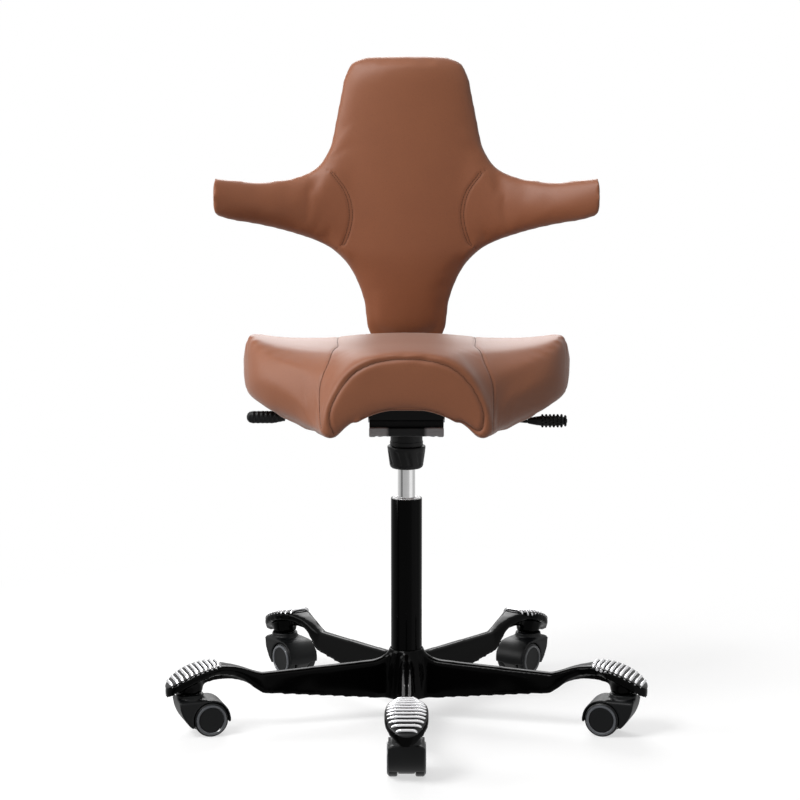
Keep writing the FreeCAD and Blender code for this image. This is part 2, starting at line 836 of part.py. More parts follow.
def housing_tray():
    body = piece("housing_tray")
    half = size.housing_half_width
    base = sketch(body, "tray_plan", "XY_Plane",
                  rectangle(-half, half, housing_front, size.housing_rear), away=tray_bottom)
    pad(body, base, size.tray_wall - size.seat_gap, name="tray_floor")
    wide = size.apron_half_width
    front = housing_front - size.seat_gap
    notch = 1.5
    apron = sketch(body, "apron_front", "XZ_Plane", [
        (-wide, tray_bottom),
        (-wide + 9, tray_bottom),
        Bend((-wide + 12, tray_bottom + 1.6), (-wide + 15, tray_bottom)),
        (-half + 18, tray_bottom + notch),
        (half - 18, tray_bottom + notch),
        (wide - 15, tray_bottom),
        Bend((wide - 12, tray_bottom + 1.6), (wide - 9, tray_bottom)),
        (wide, tray_bottom),
        (wide, tray_bottom + size.apron_height),
        (-wide, tray_bottom + size.apron_height),
    ], away=-front)
    pad(body, apron, size.apron_depth, name="apron")
    joint = sketch(body, "apron_root", "XY_Plane",
                   rectangle(-half + 20, half - 20, front - 2, housing_front + 2),
                   away=tray_bottom)
    pad(body, joint, size.tray_wall - size.seat_gap, name="apron_joint")
    hole = circle_sketch(body, "column_hole", "XY_Plane", size.cylinder_diameter + 4 * size.passing_gap,
                         away=tray_bottom - 1)
    pocket(body, hole, size.tray_wall + 2, name="column_opening", reverse=True)


def mech_housing():
    body = piece("mech_housing")
    half = size.housing_half_width
    low = size.housing_bottom
    high = size.housing_top
    side = sketch(body, "housing_side", "YZ_Plane", [
        (housing_front + 4, low),
        (size.housing_rear, low),
        (size.housing_rear, high - size.housing_rear_drop),
        (0, high),
        (housing_front + 6, high),
        Bend((housing_front + 1.8, high - 1.8), (housing_front, high - 6)),
        (housing_front, low + 4),
    ])
    pad(body, side, 2 * half, both=True, name="housing_block")
    # Cone of the gas cylinder.
    slope = size.cylinder_cone_shrink / 2 / size.cylinder_cone_length
    top_radius = cylinder_radius - size.cylinder_cone_shrink / 2 + size.seat_gap
    cone = sketch(body, "cone_profile", "XZ_Plane", [
        (0, low - 2),
        (top_radius + slope * (size.cylinder_top - low + 2), low - 2),
        (top_radius, size.cylinder_top),
        (top_radius, high + 2),
        (0, high + 2),
    ])
    feature(body, "Groove", "cone_seat", Profile=cone, ReferenceAxis=(cone, ["V_Axis"]), Angle=360)
    # Slot for the lever fingers, bay for the rubber spring, bore of the tilt shaft.
    slot = size.lever_width / 2 + 2
    fingers = sketch(body, "finger_slot", "XY_Plane", rectangle(-half - 2, half + 2, -slot, slot),
                     away=size.cylinder_top + 1)
    pocket(body, fingers, high, name="finger_slot_cut", reverse=True)
    rubber = size.rubber_diameter / 2 + 2 * size.passing_gap
    bay_half = size.rubber_half_length + size.passing_gap
    bay = sketch(body, "spring_bay", "XY_Plane",
                 rectangle(-bay_half, bay_half, size.tilt_axis_y - rubber, size.tilt_axis_y + rubber),
                 away=size.tilt_axis_height - rubber)
    pocket(body, bay, high, name="spring_bay_cut", reverse=True)
    shaft = circle_sketch(body, "shaft_circle", "YZ_Plane", size.tilt_shaft_diameter + 2 * size.seat_gap,
                          u=size.tilt_axis_y, v=size.tilt_axis_height)
    pocket(body, shaft, 4 * half, both=True, name="shaft_bore")
    for way in (-1, 1):
        pin = circle_sketch(body, "pin_circle", "XZ_Plane", size.lever_pin_diameter + 2 * size.seat_gap,
                            u=way * size.lever_pivot, v=size.lever_pivot_height)
        pocket(body, pin, pin_length + 2 * size.passing_gap, both=True, name="pin_bore")


def tilt_shaft():
    body = piece("tilt_shaft")
    circle = circle_sketch(body, "shaft_circle", "YZ_Plane", size.tilt_shaft_diameter,
                           u=size.tilt_axis_y, v=size.tilt_axis_height)
    pad(body, circle, 2 * cheek_outer + 6, both=True, name="shaft")


def tilt_rubber():
    body = piece("tilt_rubber")
    outer = circle_sketch(body, "rubber_circle", "YZ_Plane", size.rubber_diameter,
                          u=size.tilt_axis_y, v=size.tilt_axis_height)
    pad(body, outer, 2 * size.rubber_half_length, both=True, name="sleeve")
    inner = circle_sketch(body, "core_circle", "YZ_Plane", size.tilt_shaft_diameter + 2 * size.seat_gap,
                          u=size.tilt_axis_y, v=size.tilt_axis_height)
    pocket(body, inner, 4 * size.rubber_half_length, both=True, name="core")


carrier_top = size.carrier_bottom + size.carrier_thickness
bar_low = carrier_top + size.passing_gap
bar_high = bar_low + size.bar_thickness
rail_inner = size.bar_width / 2 + size.passing_gap
rail_top = bar_high + size.passing_gap
pan_low = rail_top + size.seat_gap
screw_x = size.housing_half_width - 6
screw_ys = (-size.carrier_front + 26, size.carrier_rear - 26)
cheek_low = size.housing_top


def seat_carrier():
    body = piece("seat_carrier")
    front, rear = -size.carrier_front, size.carrier_rear
    plate = sketch(body, "plate_plan", "XY_Plane", rectangle(-cheek_outer, cheek_outer, front, rear),
                   away=size.carrier_bottom)
    pad(body, plate, size.carrier_thickness, name="plate")
    ear = size.tilt_shaft_diameter / 2 + 6
    axis_y, axis_z = size.tilt_axis_y, size.tilt_axis_height
    for way, name in ((-1, "left"), (1, "right")):
        cheek = sketch(body, f"cheek_{name}_side", "YZ_Plane", [
            (front, carrier_top),
            (front, cheek_low),
            (axis_y - ear, cheek_low),
            (axis_y - ear, axis_z),
            Bend((axis_y, axis_z - ear), (axis_y + ear, axis_z)),
            (axis_y + ear, cheek_low),
            (rear - 12, cheek_low),
            (rear, size.carrier_bottom),
            (rear, carrier_top),
        ], away=cheek_inner if way > 0 else -cheek_outer)
        pad(body, cheek, size.cheek_thickness, name=f"cheek_{name}")
        rail = sketch(body, f"rail_{name}_plan", "XY_Plane", rectangle(
            way * rail_inner, way * (rail_inner + 4), front + 20, rear), away=carrier_top - 1)
        pad(body, rail, rail_top - carrier_top + 1, name=f"rail_{name}")
    lip = sketch(body, "lip_plan", "XY_Plane", rectangle(-cheek_outer, cheek_outer, front - 3.5, front + 1),
                 away=cheek_low)
    pad(body, lip, carrier_top - cheek_low, name="front_lip")
    for x_way in (-1, 1):
        for number, place in enumerate(screw_ys):
            boss = circle_sketch(body, f"boss_circle_{number}", "XY_Plane", 2.2 * size.screw_diameter,
                                 u=x_way * screw_x, v=place, away=carrier_top - 1)
            pad(body, boss, rail_top - carrier_top + 1, name="boss")
            hole = circle_sketch(body, f"screw_hole_{number}", "XY_Plane",
                                 size.screw_diameter + 2 * size.seat_gap, u=x_way * screw_x, v=place,
                                 away=size.carrier_bottom - 2)
            pocket(body, hole, rail_top - size.carrier_bottom + 4, name="screw_hole", reverse=True)
    # Windows that the levers pass through, tall enough for the seat to tilt over them.
    opening = size.lever_width / 2 + 1.5
    window = sketch(body, "lever_window", "YZ_Plane",
                    rectangle(-opening, opening, cheek_low - 4, size.carrier_bottom))
    pocket(body, window, 4 * cheek_outer, both=True, name="lever_windows")
    shaft = circle_sketch(body, "shaft_bore", "YZ_Plane", size.tilt_shaft_diameter + 2 * size.running_fit,
                          u=axis_y, v=axis_z)
    pocket(body, shaft, 4 * cheek_outer, both=True, name="shaft_bore_cut")


def lever_pins():
    body = piece("lever_pins")
    for way in (-1, 1):
        circle = circle_sketch(body, "pin_circle", "XZ_Plane", size.lever_pin_diameter,
                               u=way * size.lever_pivot, v=size.lever_pivot_height)
        pad(body, circle, pin_length, both=True, name="pin")


def lever(side, way, drop, finger):
    """A flat steel lever that turns on a pin in the housing; its finger is an outline inside it."""
    body = piece(f"{side}_lever")
    half = size.lever_thickness / 2
    middle = size.lever_pivot_height
    boss = size.lever_pin_diameter / 2 + 2.6
    knee = size.lever_pivot + 34
    far = size.lever_reach - 14
    start = size.lever_reach - size.grip_length - 4
    below, above = finger
    side_view = sketch(body, "lever_side", "XZ_Plane", [(way * u, v) for u, v in [
        *below,
        (size.lever_pivot - boss, middle - half),
        (size.lever_pivot - boss / 2, middle - boss),
        (size.lever_pivot + boss / 2, middle - boss),
        (size.lever_pivot + boss, middle - half),
        (knee, middle - half),
        (start, middle - drop - half),
        (far, middle - drop - half),
        (far, middle - drop + half),
        (start, middle - drop + half),
        (knee, middle + half),
        (size.lever_pivot + boss, middle + half),
        (size.lever_pivot + boss / 2, middle + boss),
        (size.lever_pivot - boss / 2, middle + boss),
        (size.lever_pivot - boss, middle + half),
        *above,
    ]])
    pad(body, side_view, size.lever_width, both=True, name="strip")
    bore = circle_sketch(body, "pivot_bore", "XZ_Plane", size.lever_pin_diameter + 2 * size.running_fit,
                         u=way * size.lever_pivot, v=middle)
    pocket(body, bore, 3 * size.lever_width, both=True, name="pivot_bore_cut")


def height_lever():
    """The finger lies just over the valve pin and presses it when the grip is lifted."""
    low = size.cylinder_top + size.valve_height + size.passing_gap
    high = low + size.finger_thickness
    lever("right", 1, size.lever_drop_right, (
        [(-size.valve_diameter / 2, low), (size.valve_diameter, low)],
        [(size.valve_diameter, high), (-size.valve_diameter / 2, high)],
    ))


def lock_lever():
    """The finger carries a block that comes up under the seat carrier when the grip is pushed down."""
    low = size.lever_pivot_height - size.lever_thickness / 2
    inner = size.lock_finger_end
    outer = inner + size.lever_thickness + 2
    lever("left", -1, size.lever_drop_left, (
        [(inner, low)],
        [(outer, low + size.lever_thickness), (outer, size.lock_block_top), (inner, size.lock_block_top)],
    ))


def grip_slot(body, way, drop):
    """Pocket in a grip that the end of the lever fills."""
    middle = size.lever_pivot_height - drop
    gap = size.seat_gap
    half = size.lever_thickness / 2 + gap
    slot = sketch(body, "slot_side", "XZ_Plane", rectangle(
        way * (size.lever_reach - size.grip_length - 2), way * (size.lever_reach - 14 + gap),
        middle - half, middle + half))
    pocket(body, slot, size.lever_width + 2 * gap, both=True, name="slot")


def toothed_grip():
    """Right grip: a flat paddle with teeth along its top and bottom."""
    body = piece("right_lever_grip")
    middle = size.lever_pivot_height - size.lever_drop_right
    half = size.grip_height_right / 2
    start = size.lever_reach - size.grip_length
    count = int(size.grip_length.value / size.tooth_pitch.value)
    depth = 2.6
    upper, lower = [], []
    for tooth in range(count):
        foot = start + size.tooth_pitch * tooth
        upper += [(foot, middle + half - depth), (foot + size.tooth_pitch * 0.35, middle + half),
                  (foot + size.tooth_pitch * 0.7, middle + half - depth)]
        lower += [(foot, middle - half + depth), (foot + size.tooth_pitch * 0.35, middle - half),
                  (foot + size.tooth_pitch * 0.7, middle - half + depth)]
    tip = [(size.lever_reach, middle + half * 0.4), (size.lever_reach, middle - half * 0.4)]
    outline = upper + tip + lower[::-1]
    pad(body, sketch(body, "grip_side", "XZ_Plane", outline), size.grip_depth, both=True, name="paddle")
    grip_slot(body, 1, size.lever_drop_right)


def ribbed_grip():
    """Left grip: a paddle with a round end and upright ribs round it."""
    body = piece("left_lever_grip")
    middle = size.lever_pivot_height - size.lever_drop_left
    half = size.grip_height_left / 2
    start = -size.lever_reach + size.grip_length
    outline = [
        (start, middle + half - 3),
        (start - 6, middle + half),
        (-size.lever_reach + half + 4, middle + half),
        Bend((-size.lever_reach + 4, middle), (-size.lever_reach + half + 4, middle - half)),
        (start - 6, middle - half),
        (start, middle - half + 3),
    ]
    pad(body, sketch(body, "grip_side", "XZ_Plane", outline), size.grip_depth, both=True, name="paddle")
    grooves = []
    for rib in range(int(size.grip_length.value / size.tooth_pitch.value) - 2):
        edge = start - 8 - size.tooth_pitch * rib
        for way in (-1, 1):
            grooves.append([
                (edge, way * (size.grip_depth / 2 + 2)),
                (edge, way * (size.grip_depth / 2 - 1.4)),
                (edge - size.tooth_pitch * 0.4, way * (size.grip_depth / 2 - 1.4)),
                (edge - size.tooth_pitch * 0.4, way * (size.grip_depth / 2 + 2)),
            ])
    pocket(body, sketch(body, "groove_plan", "XY_Plane", *grooves, away=middle), 2 * size.grip_height_left,
           both=True, name="grooves")
    grip_slot(body, -1, size.lever_drop_left)


# Seat pan, seat cushion and their screws

def seat_pan():
    body = piece("seat_pan")
    front, rear = -size.pan_front, size.pan_rear
    nose, wide = size.pan_half_width * 0.42, size.pan_half_width
    plan = sketch(body, "pan_plan", "XY_Plane", [
        (nose, front),
        Bend((nose + 8, front + 28), (wide - 6, -22)),
        Bend((wide - 1, -8), (wide, 8)),
        (wide, rear - 26),
        Bend((wide - 8, rear - 8), (wide - 26, rear)),
        (-wide + 26, rear),
        Bend((-wide + 8, rear - 8), (-wide, rear - 26)),
        (-wide, 8),
        Bend((-wide + 1, -8), (-wide + 6, -22)),
        Bend((-nose - 8, front + 28), (-nose, front)),
    ], away=pan_low)
    pad(body, plan, size.pan_thickness, name="board")
    for x_way in (-1, 1):
        for place in screw_ys:
            hole = circle_sketch(body, "screw_hole", "XY_Plane", size.screw_diameter + 2 * size.seat_gap,
                                 u=x_way * screw_x, v=place, away=pan_low - 1)
            pocket(body, hole, size.pan_thickness, name="screw_hole_cut", reverse=True)


def pan_screws():
    body = piece("pan_screws")
    shank = size.screw_diameter / 2
    low = size.carrier_bottom - size.seat_gap
    for x_way in (-1, 1):
        for place in screw_ys:
            head = circle_sketch(body, "head_circle", "XY_Plane", 2 * size.screw_diameter,
                                 u=x_way * screw_x, v=place, away=low - shank)
            pad(body, head, shank, name="head")
            thread = circle_sketch(body, "thread_circle", "XY_Plane", size.screw_diameter,
                                   u=x_way * screw_x, v=place, away=low - 1)
            pad(body, thread, pan_low - low + size.pan_thickness - 2, name="thread")


# One cross-section of the seat: its place along the seat, then on the right half the
# drop of the middle of the crest, the seam point, the top of the outer end, its bottom,
# the inner foot of the flap and the edge of the flat underside. Widths are shares of the
# half width, heights are measured down from the crest.
SeatSection = namedtuple("SeatSection", "place middle seam bow top bulge bottom heel foot arch flat")
seat_sections = (
    SeatSection(-1.00, -1.0, (0.217, 5.5), (0.337, 25), (0.419, 53), (0.476, 77), (0.491, 104),
                (0.453, 130), (0.397, 120), (0.285, 95), (0.127, 84.5)),
    SeatSection(-0.84, -2.0, (0.247, 4), (0.390, 22), (0.479, 50), (0.524, 78), (0.536, 104),
                (0.494, 132), (0.408, 124), (0.300, 95), (0.142, 83)),
    SeatSection(-0.62, -2.0, (0.300, 4.5), (0.468, 16), (0.618, 31), (0.670, 61), (0.667, 94),
                (0.599, 123), (0.479, 119), (0.356, 94), (0.195, 82)),
    SeatSection(-0.36, -1.0, (0.393, 7.5), (0.618, 12), (0.831, 13), (0.906, 46), (0.899, 88),
                (0.831, 114.5), (0.637, 113), (0.468, 93), (0.281, 82)),
    SeatSection(-0.12, -0.5, (0.453, 9), (0.712, 7), (0.936, -3), (0.985, 44), (0.998, 89),
                (0.955, 105), (0.80, 105), (0.562, 92), (0.375, 82)),
    SeatSection(0.37, 3.0, (0.461, 11.5), (0.712, 9.5), (0.938, -1), (0.985, 35), (0.992, 72),
                (0.952, 88), (0.815, 91), (0.599, 85), (0.419, 82)),
    SeatSection(0.80, 11, (0.442, 18), (0.693, 19), (0.884, 16), (0.944, 36), (0.929, 61),
                (0.891, 73), (0.768, 75), (0.599, 79), (0.419, 82)),
    SeatSection(1.00, 24, (0.404, 29), (0.618, 34), (0.787, 38), (0.831, 48), (0.824, 58),
                (0.794, 66), (0.712, 68), (0.562, 74), (0.404, 76)),
)


def seat_cushion():
    body = piece("seat_cushion")
    drawings = []
    for number, section in enumerate(seat_sections):
        length = size.seat_front if section.place < 0 else size.seat_rear

        def at(point, way=1):
            return (way * point[0] * size.seat_half_width, size.seat_crest - point[1])

        half = [
            Bend(at(section.bow), at(section.top)),
            Bend(at(section.bulge), at(section.bottom)),
            Bend(at(section.heel), at(section.foot)),
            Bend(at(section.arch), at(section.flat)),
        ]
        mirror = [
            Bend(at(section.arch, -1), at(section.foot, -1)),
            Bend(at(section.heel, -1), at(section.bottom, -1)),
            Bend(at(section.bulge, -1), at(section.top, -1)),
            Bend(at(section.bow, -1), at(section.seam, -1)),
        ]
        crest = [Bend((0, size.seat_crest - section.middle), at(section.seam))]
        outline = crest + half + [at(section.flat, -1)] + mirror
        drawings.append(sketch(body, f"seat_section_{number}", "XZ_Plane", outline,
                               away=-section.place * length))
    loft(body, drawings, name="seat_form")


# Back: bar, bracket and cushion

def back_bar():
    body = piece("back_bar")
    bend = size.bar_bend_radius
    outer = size.bar_upright + size.bar_thickness / 2
    inner = outer - size.bar_thickness
    small = bend - size.bar_thickness
    lean = math.sqrt(0.5)
    side = sketch(body, "bar_side", "YZ_Plane", [
        (size.bar_front, bar_low),
        (outer - bend, bar_low),
        Bend((outer - bend + bend * lean, bar_low + bend - bend * lean), (outer, bar_low + bend)),
        (outer, size.bar_top),
        (inner, size.bar_top),
        (inner, bar_low + bend),
        Bend((outer - bend + small * lean, bar_low + bend - small * lean), (outer - bend, bar_high)),
        (size.bar_front, bar_high),
    ])
    pad(body, side, size.bar_width, both=True, name="bar")


back_rear = size.back_front + size.back_thickness
bracket_front = back_rear + size.seat_gap
bar_front_face = size.bar_upright - size.bar_thickness / 2
bar_rear_face = size.bar_upright + size.bar_thickness / 2
bracket_rear = bar_rear_face + size.passing_gap + size.bracket_wall
bracket_top = size.bracket_bottom + size.bracket_height


def back_bracket():
    body = piece("back_bracket")
    wide = size.bracket_half_width
    low, high = size.bracket_bottom, bracket_top
    front = sketch(body, "bracket_front", "XZ_Plane", [
        (wide - 14, low),
        Bend((wide - 3, low + 4), (wide, low + 16)),
        (wide - 6, high - 12),
        Bend((wide - 9, high - 3), (wide - 18, high)),
        (-wide + 18, high),
        Bend((-wide + 9, high - 3), (-wide + 6, high - 12)),
        (-wide, low + 16),
        Bend((-wide + 3, low + 4), (-wide + 14, low)),
    ], away=-bracket_rear)
    pad(body, front, bracket_rear - bracket_front, name="block")
    slot = sketch(body, "bar_slot", "XY_Plane", rectangle(
        -size.bar_width / 2 - size.passing_gap, size.bar_width / 2 + size.passing_gap,
        bar_front_face - size.passing_gap, bar_rear_face + size.passing_gap), away=low - 2)
    pocket(body, slot, size.bracket_height - size.bracket_wall + 2, name="bar_slot_cut", reverse=True)


def back_screws():
    body = piece("back_screws")
    head = size.screw_diameter
    for x_way in (-1, 1):
        for height in (size.bracket_bottom + 22, bracket_top - 26):
            circle = circle_sketch(body, "head_circle", "XZ_Plane", 2 * head,
                                   u=x_way * (size.bar_width / 2 + 4), v=height,
                                   away=-bracket_rear - size.seat_gap - 3)
            pad(body, circle, 3, name="head")


def trunk_section(body, number, height, half, thin=0):
    """Section of the middle of the back: a crowned front, round sides and a flatter rear."""
    front = size.back_front + thin
    rear = back_rear - thin * 0.6
    side = half * 0.86
    return sketch(body, f"trunk_{number}", "XY_Plane", [
        Bend((0, front), (side, front + size.back_crown)),
        Bend((half, (front + rear) / 2 + 2), (side, rear - 4)),
        Bend((0, rear), (-side, rear - 4)),
        Bend((-half, (front + rear) / 2 + 2), (-side, front + size.back_crown)),
    ], away=height)


def wing_section(body, number, station, low, high, forward, thin=0):
    """Section across a wing of the back, turned forward towards its tip."""
    front = size.back_front + size.back_crown * 0.4 - forward
    rear = front + size.wing_thickness - thin
    middle = (low + high) / 2
    half = (high - low) / 2
    ridge = half * 0.74
    depth = (front + rear) / 2
    return sketch(body, f"wing_{number}", "YZ_Plane", [
        Bend((front, middle), (front + 6, middle + ridge)),
        Bend((depth, middle + half), (rear - 6, middle + ridge)),
        Bend((rear, middle), (rear - 6, middle - ridge)),
        Bend((depth, middle - half), (front + 6, middle - ridge)),
    ], away=station)


def back_cushion():
    body = piece("back_cushion")
    top, low = size.back_top, size.back_bottom
    trunk = (
        (low, 44, 12),
        (low + 8, 62, 5),
        (low + 34, 73, 0),
        (low + 68, 77, 0),
        (low + 98, 86, 0),
        (low + 118, 95, 0),
        (low + 135, 104.5, 0),
        (low + 154, 121, 0),
        (low + 230, 146, 0),
        (low + 300, 146, 0),
        (low + 343, 134, 0),
        (low + 400, 122.5, 0),
        (low + 455, 110, 0),
        (top - 12, 97, 3),
        (top - 3, 78, 8),
        (top, 62, 13),
    )
    drawings = [trunk_section(body, number, height, half, thin)
                for number, (height, half, thin) in enumerate(trunk)]
    loft(body, drawings, name="trunk", ruled=True)
    tip_low, tip_high = size.wing_tip_bottom, size.wing_tip_top
    # From the middle out: station, then how far the wing is below and above the tip band
    # and how far it has turned forward.
    wing = (
        (100, 92, 90, 0, 0),
        (118, 74, 72, 0.01, 0),
        (136, 60, 44, 0.03, 0),
        (150, 53, 20, 0.055, 0),
        (167, 46, 8, 0.1, 0),
        (200, 34, -3, 0.24, 0),
        (248, 20.5, -8, 0.5, 0),
        (296, 10.5, -4, 0.82, 0),
        (size.wing_half_span - 3, 1, 0, 0.98, 2),
        (size.wing_half_span, -6, -6, 1, 10),
    )
    for way, name in ((1, "right"), (-1, "left")):
        drawings = [wing_section(body, f"{name}_{number}", way * station, tip_low - down, tip_high + up,
                                 size.wing_forward * turn, thin)
                    for number, (station, down, up, turn, thin) in enumerate(wing)]
        loft(body, drawings, name=f"wing_{name}", ruled=True)


column_tube()
guide_bush()
piston_rod()
rod_clip()
thrust_bearing()
piston()
gas_cylinder()
valve_pin()
base_star()
for number, angle in enumerate(arm_angles, start=1):
    foot_grip(number, angle)
    caster_hood(number, angle)
    caster_stem(number, angle)
    caster_axle(number, angle)
    caster_wheel(number, angle, "left", 1)
    caster_wheel(number, angle, "right", -1)
knob_neck()
tension_knob()
housing_tray()
mech_housing()
tilt_shaft()
tilt_rubber()
seat_carrier()
lever_pins()
height_lever()
lock_lever()
toothed_grip()
ribbed_grip()
seat_pan()
pan_screws()
seat_cushion()
back_bar()
back_bracket()
back_screws()
back_cushion()
document.recompute()

bodies = [item for item in document.Objects if item.TypeId == "PartDesign::Body"]
for item in document.Objects:
    if "Invalid" in item.State or "Error" in item.State:
        raise RuntimeError(f"{item.Name} ({item.Label}) failed: {item.State}")
for item in bodies:
    if item.Shape.isNull() or not item.Shape.isValid():
        raise RuntimeError(f"{item.Label} has no valid shape")
os.makedirs("parts", exist_ok=True)
for item in bodies:
    item.Shape.exportStep(f"parts/{item.Label}.step")
    print(f"{item.Label}: {len(item.Shape.Solids)} solid, {item.Shape.Volume / 1000:.1f} cm3")
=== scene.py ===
import json
import math
import bmesh
import bpy
import numpy as np
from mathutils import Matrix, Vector
from mathutils.bvhtree import BVHTree
from mathutils.kdtree import KDTree


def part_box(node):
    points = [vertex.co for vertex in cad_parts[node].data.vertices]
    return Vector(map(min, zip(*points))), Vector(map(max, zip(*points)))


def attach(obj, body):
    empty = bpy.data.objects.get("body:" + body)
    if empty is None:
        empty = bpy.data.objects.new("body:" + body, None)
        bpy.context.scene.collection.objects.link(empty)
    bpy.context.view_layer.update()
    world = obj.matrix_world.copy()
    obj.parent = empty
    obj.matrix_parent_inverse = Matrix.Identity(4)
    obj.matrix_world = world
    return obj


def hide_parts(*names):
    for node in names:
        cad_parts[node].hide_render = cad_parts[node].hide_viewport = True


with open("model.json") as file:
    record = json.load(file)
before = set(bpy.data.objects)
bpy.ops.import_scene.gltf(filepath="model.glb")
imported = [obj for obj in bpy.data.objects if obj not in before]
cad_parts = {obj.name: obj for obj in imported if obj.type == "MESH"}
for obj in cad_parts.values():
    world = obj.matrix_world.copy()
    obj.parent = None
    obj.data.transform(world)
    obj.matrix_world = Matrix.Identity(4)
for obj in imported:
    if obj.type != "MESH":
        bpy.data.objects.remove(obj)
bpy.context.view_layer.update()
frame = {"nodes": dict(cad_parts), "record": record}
print("frame loaded:", len(frame["nodes"]), "nodes")

# camera
camera = {
    "place": (0.0, -3.9075, 1.1105),
    "tiltDown": 0.15047,  # radians
    "lens": 111.42,
    "shift": -0.0081,
}


def makeCamera():
    data = bpy.data.cameras.new("viewCamera")
    data.lens = camera["lens"]
    data.sensor_width = 36
    data.shift_x = camera["shift"]
    data.clip_end = 50
    view = bpy.data.objects.new("viewCamera", data)
    view.location = camera["place"]
    view.rotation_euler = (math.pi / 2 - camera["tiltDown"], 0, 0)
    bpy.context.scene.collection.objects.link(view)
    bpy.context.scene.camera = view


makeCamera()
bpy.context.scene.view_settings.view_transform = "Standard"


# one class for node sockets, so that shader and geometry maths read as plain expressions
class Wire:
    def __init__(self, graph, socket):
        self.graph = graph
        self.socket = socket

    def maths(self, operation, *values):
        return self.graph.add("ShaderNodeMath", {"operation": operation}, dict(enumerate(values)))

    def __add__(self, other):
        return self.maths("ADD", self, other)

    def __radd__(self, other):
        return self.maths("ADD", other, self)

    def __sub__(self, other):
        return self.maths("SUBTRACT", self, other)

    def __rsub__(self, other):
        return self.maths("SUBTRACT", other, self)

    def __mul__(self, other):
        return self.maths("MULTIPLY", self, other)

    def __rmul__(self, other):
        return self.maths("MULTIPLY", other, self)

    def __truediv__(self, other):
        return self.maths("DIVIDE", self, other)

    def __pow__(self, other):
        return self.maths("POWER", self, other)


class Graph:
    def __init__(self, tree):
        self.tree = tree

    def add(self, kind, settings=None, values=None, out=0):
        node = self.tree.nodes.new(kind)
        for name, value in (settings or {}).items():
            if name == "stops":
                ramp = node.color_ramp
                while len(ramp.elements) < len(value):
                    ramp.elements.new(0.5)
                for element, (place, colour) in zip(ramp.elements, value):
                    element.position = place
                    element.color = colour if len(colour) == 4 else (*colour, 1)
            else:
                setattr(node, name, value)
        for key, value in (values or {}).items():
            if isinstance(value, Wire):
                self.tree.links.new(value.socket, node.inputs[key])
            else:
                node.inputs[key].default_value = value
        return Wire(self, node.outputs[out])


# materials
class Finish(Graph):
    def __init__(self, name, **constants):
        self.material = bpy.data.materials.new(name)
        self.material.use_nodes = True
        super().__init__(self.material.node_tree)
        self.shader = self.tree.nodes["Principled BSDF"]
        for key, value in constants.items():
            self.shader.inputs[key.replace("_", " ")].default_value = value

    def place(self):
        return self.add("ShaderNodeTexCoord", out="Object")

    def noise(self, where, scale, detail=2.0, roughness=0.5):
        return self.add("ShaderNodeTexNoise", None, {
            "Vector": where, "Scale": scale, "Detail": detail, "Roughness": roughness})

    def blend(self, amount, first, second, mode="MIX"):
        return self.add("ShaderNodeMix", {"data_type": "RGBA", "blend_type": mode}, {
            0: amount, 6: first, 7: second}, out=2)

    def ramp(self, value, stops):
        return self.add("ShaderNodeValToRGB", {"stops": stops}, {0: value})

    def bump(self, height, strength, distance):
        return self.add("ShaderNodeBump", None, {
            "Height": height, "Strength": strength, "Distance": distance})

    def wear(self, key, value):
        self.tree.links.new(value.socket, self.shader.inputs[key])


def colour(red, green, blue):
    def linear(part):
        part = part / 255
        return part / 12.92 if part <= 0.04045 else ((part + 0.055) / 1.055) ** 2.4
    return (linear(red), linear(green), linear(blue), 1)


def scaled(tone, share):
    return [part * share for part in tone[:3]] + [1]


cover = {
    "light": colour(144, 86, 53),
    "dark": colour(130, 75, 46),
    "pore": colour(100, 58, 38),
    # colour of the painted shade at the bottom of the sewn grooves
    "seam": colour(66, 37, 23),
    "patch": 14,     # broad mottling, per metre
    "fleck": 420,
    "grain": 1100,   # pebbles of the grain, per metre
}


def coverMaterial(name):
    finish = Finish(name, Roughness=0.5, Specular_IOR_Level=0.55, Sheen_Weight=0.25,
                    Sheen_Roughness=0.4)
    where = finish.place()
    patch = finish.noise(where, cover["patch"], 3, 0.55)
    fleck = finish.noise(where, cover["fleck"], 2, 0.6)
    pebble = finish.add("ShaderNodeTexVoronoi", {"feature": "SMOOTH_F1"}, {
        "Vector": where, "Scale": cover["grain"], "Smoothness": 0.4})
    tone = finish.blend(patch * 0.7 + fleck * 0.5 - 0.1, cover["dark"], cover["light"])
    crack = finish.ramp(pebble, [(0.6, (0, 0, 0)), (1.0, (0.4, 0.4, 0.4))])
    tone = finish.blend(crack, tone, cover["pore"])
    # painted shade: the cover darkens towards the seam colour at the bottom of each sewn groove
    grooveShade = finish.add("ShaderNodeAttribute", {"attribute_name": "seamShade"}, out="Fac")
    tone = finish.blend(grooveShade, tone, cover["seam"])
    finish.wear("Base Color", tone)
    finish.wear("Roughness", 0.42 + fleck * 0.12 + pebble * 0.08)
    height = pebble * 0.6 + fleck * 0.4
    finish.wear("Normal", finish.bump(height, 0.12, 0.0005))
    return finish.material


def enamelMaterial(name, tone, roughness, ripple=0.04, speck=900, level=0.5, coat=0.0):
    finish = Finish(name, Specular_IOR_Level=level, Coat_Weight=coat, Coat_Roughness=0.05)
    where = finish.place()
    dust = finish.noise(where, speck, 3, 0.6)
    cloud = finish.noise(where, 9, 2, 0.5)
    finish.wear("Base Color", finish.blend(cloud * 0.5 + dust * 0.3, tone, scaled(tone, 1.5)))
    finish.wear("Roughness", roughness - 0.03 + cloud * 0.05 + dust * 0.03)
    finish.wear("Normal", finish.bump(dust, ripple, 0.0002))
    return finish.material


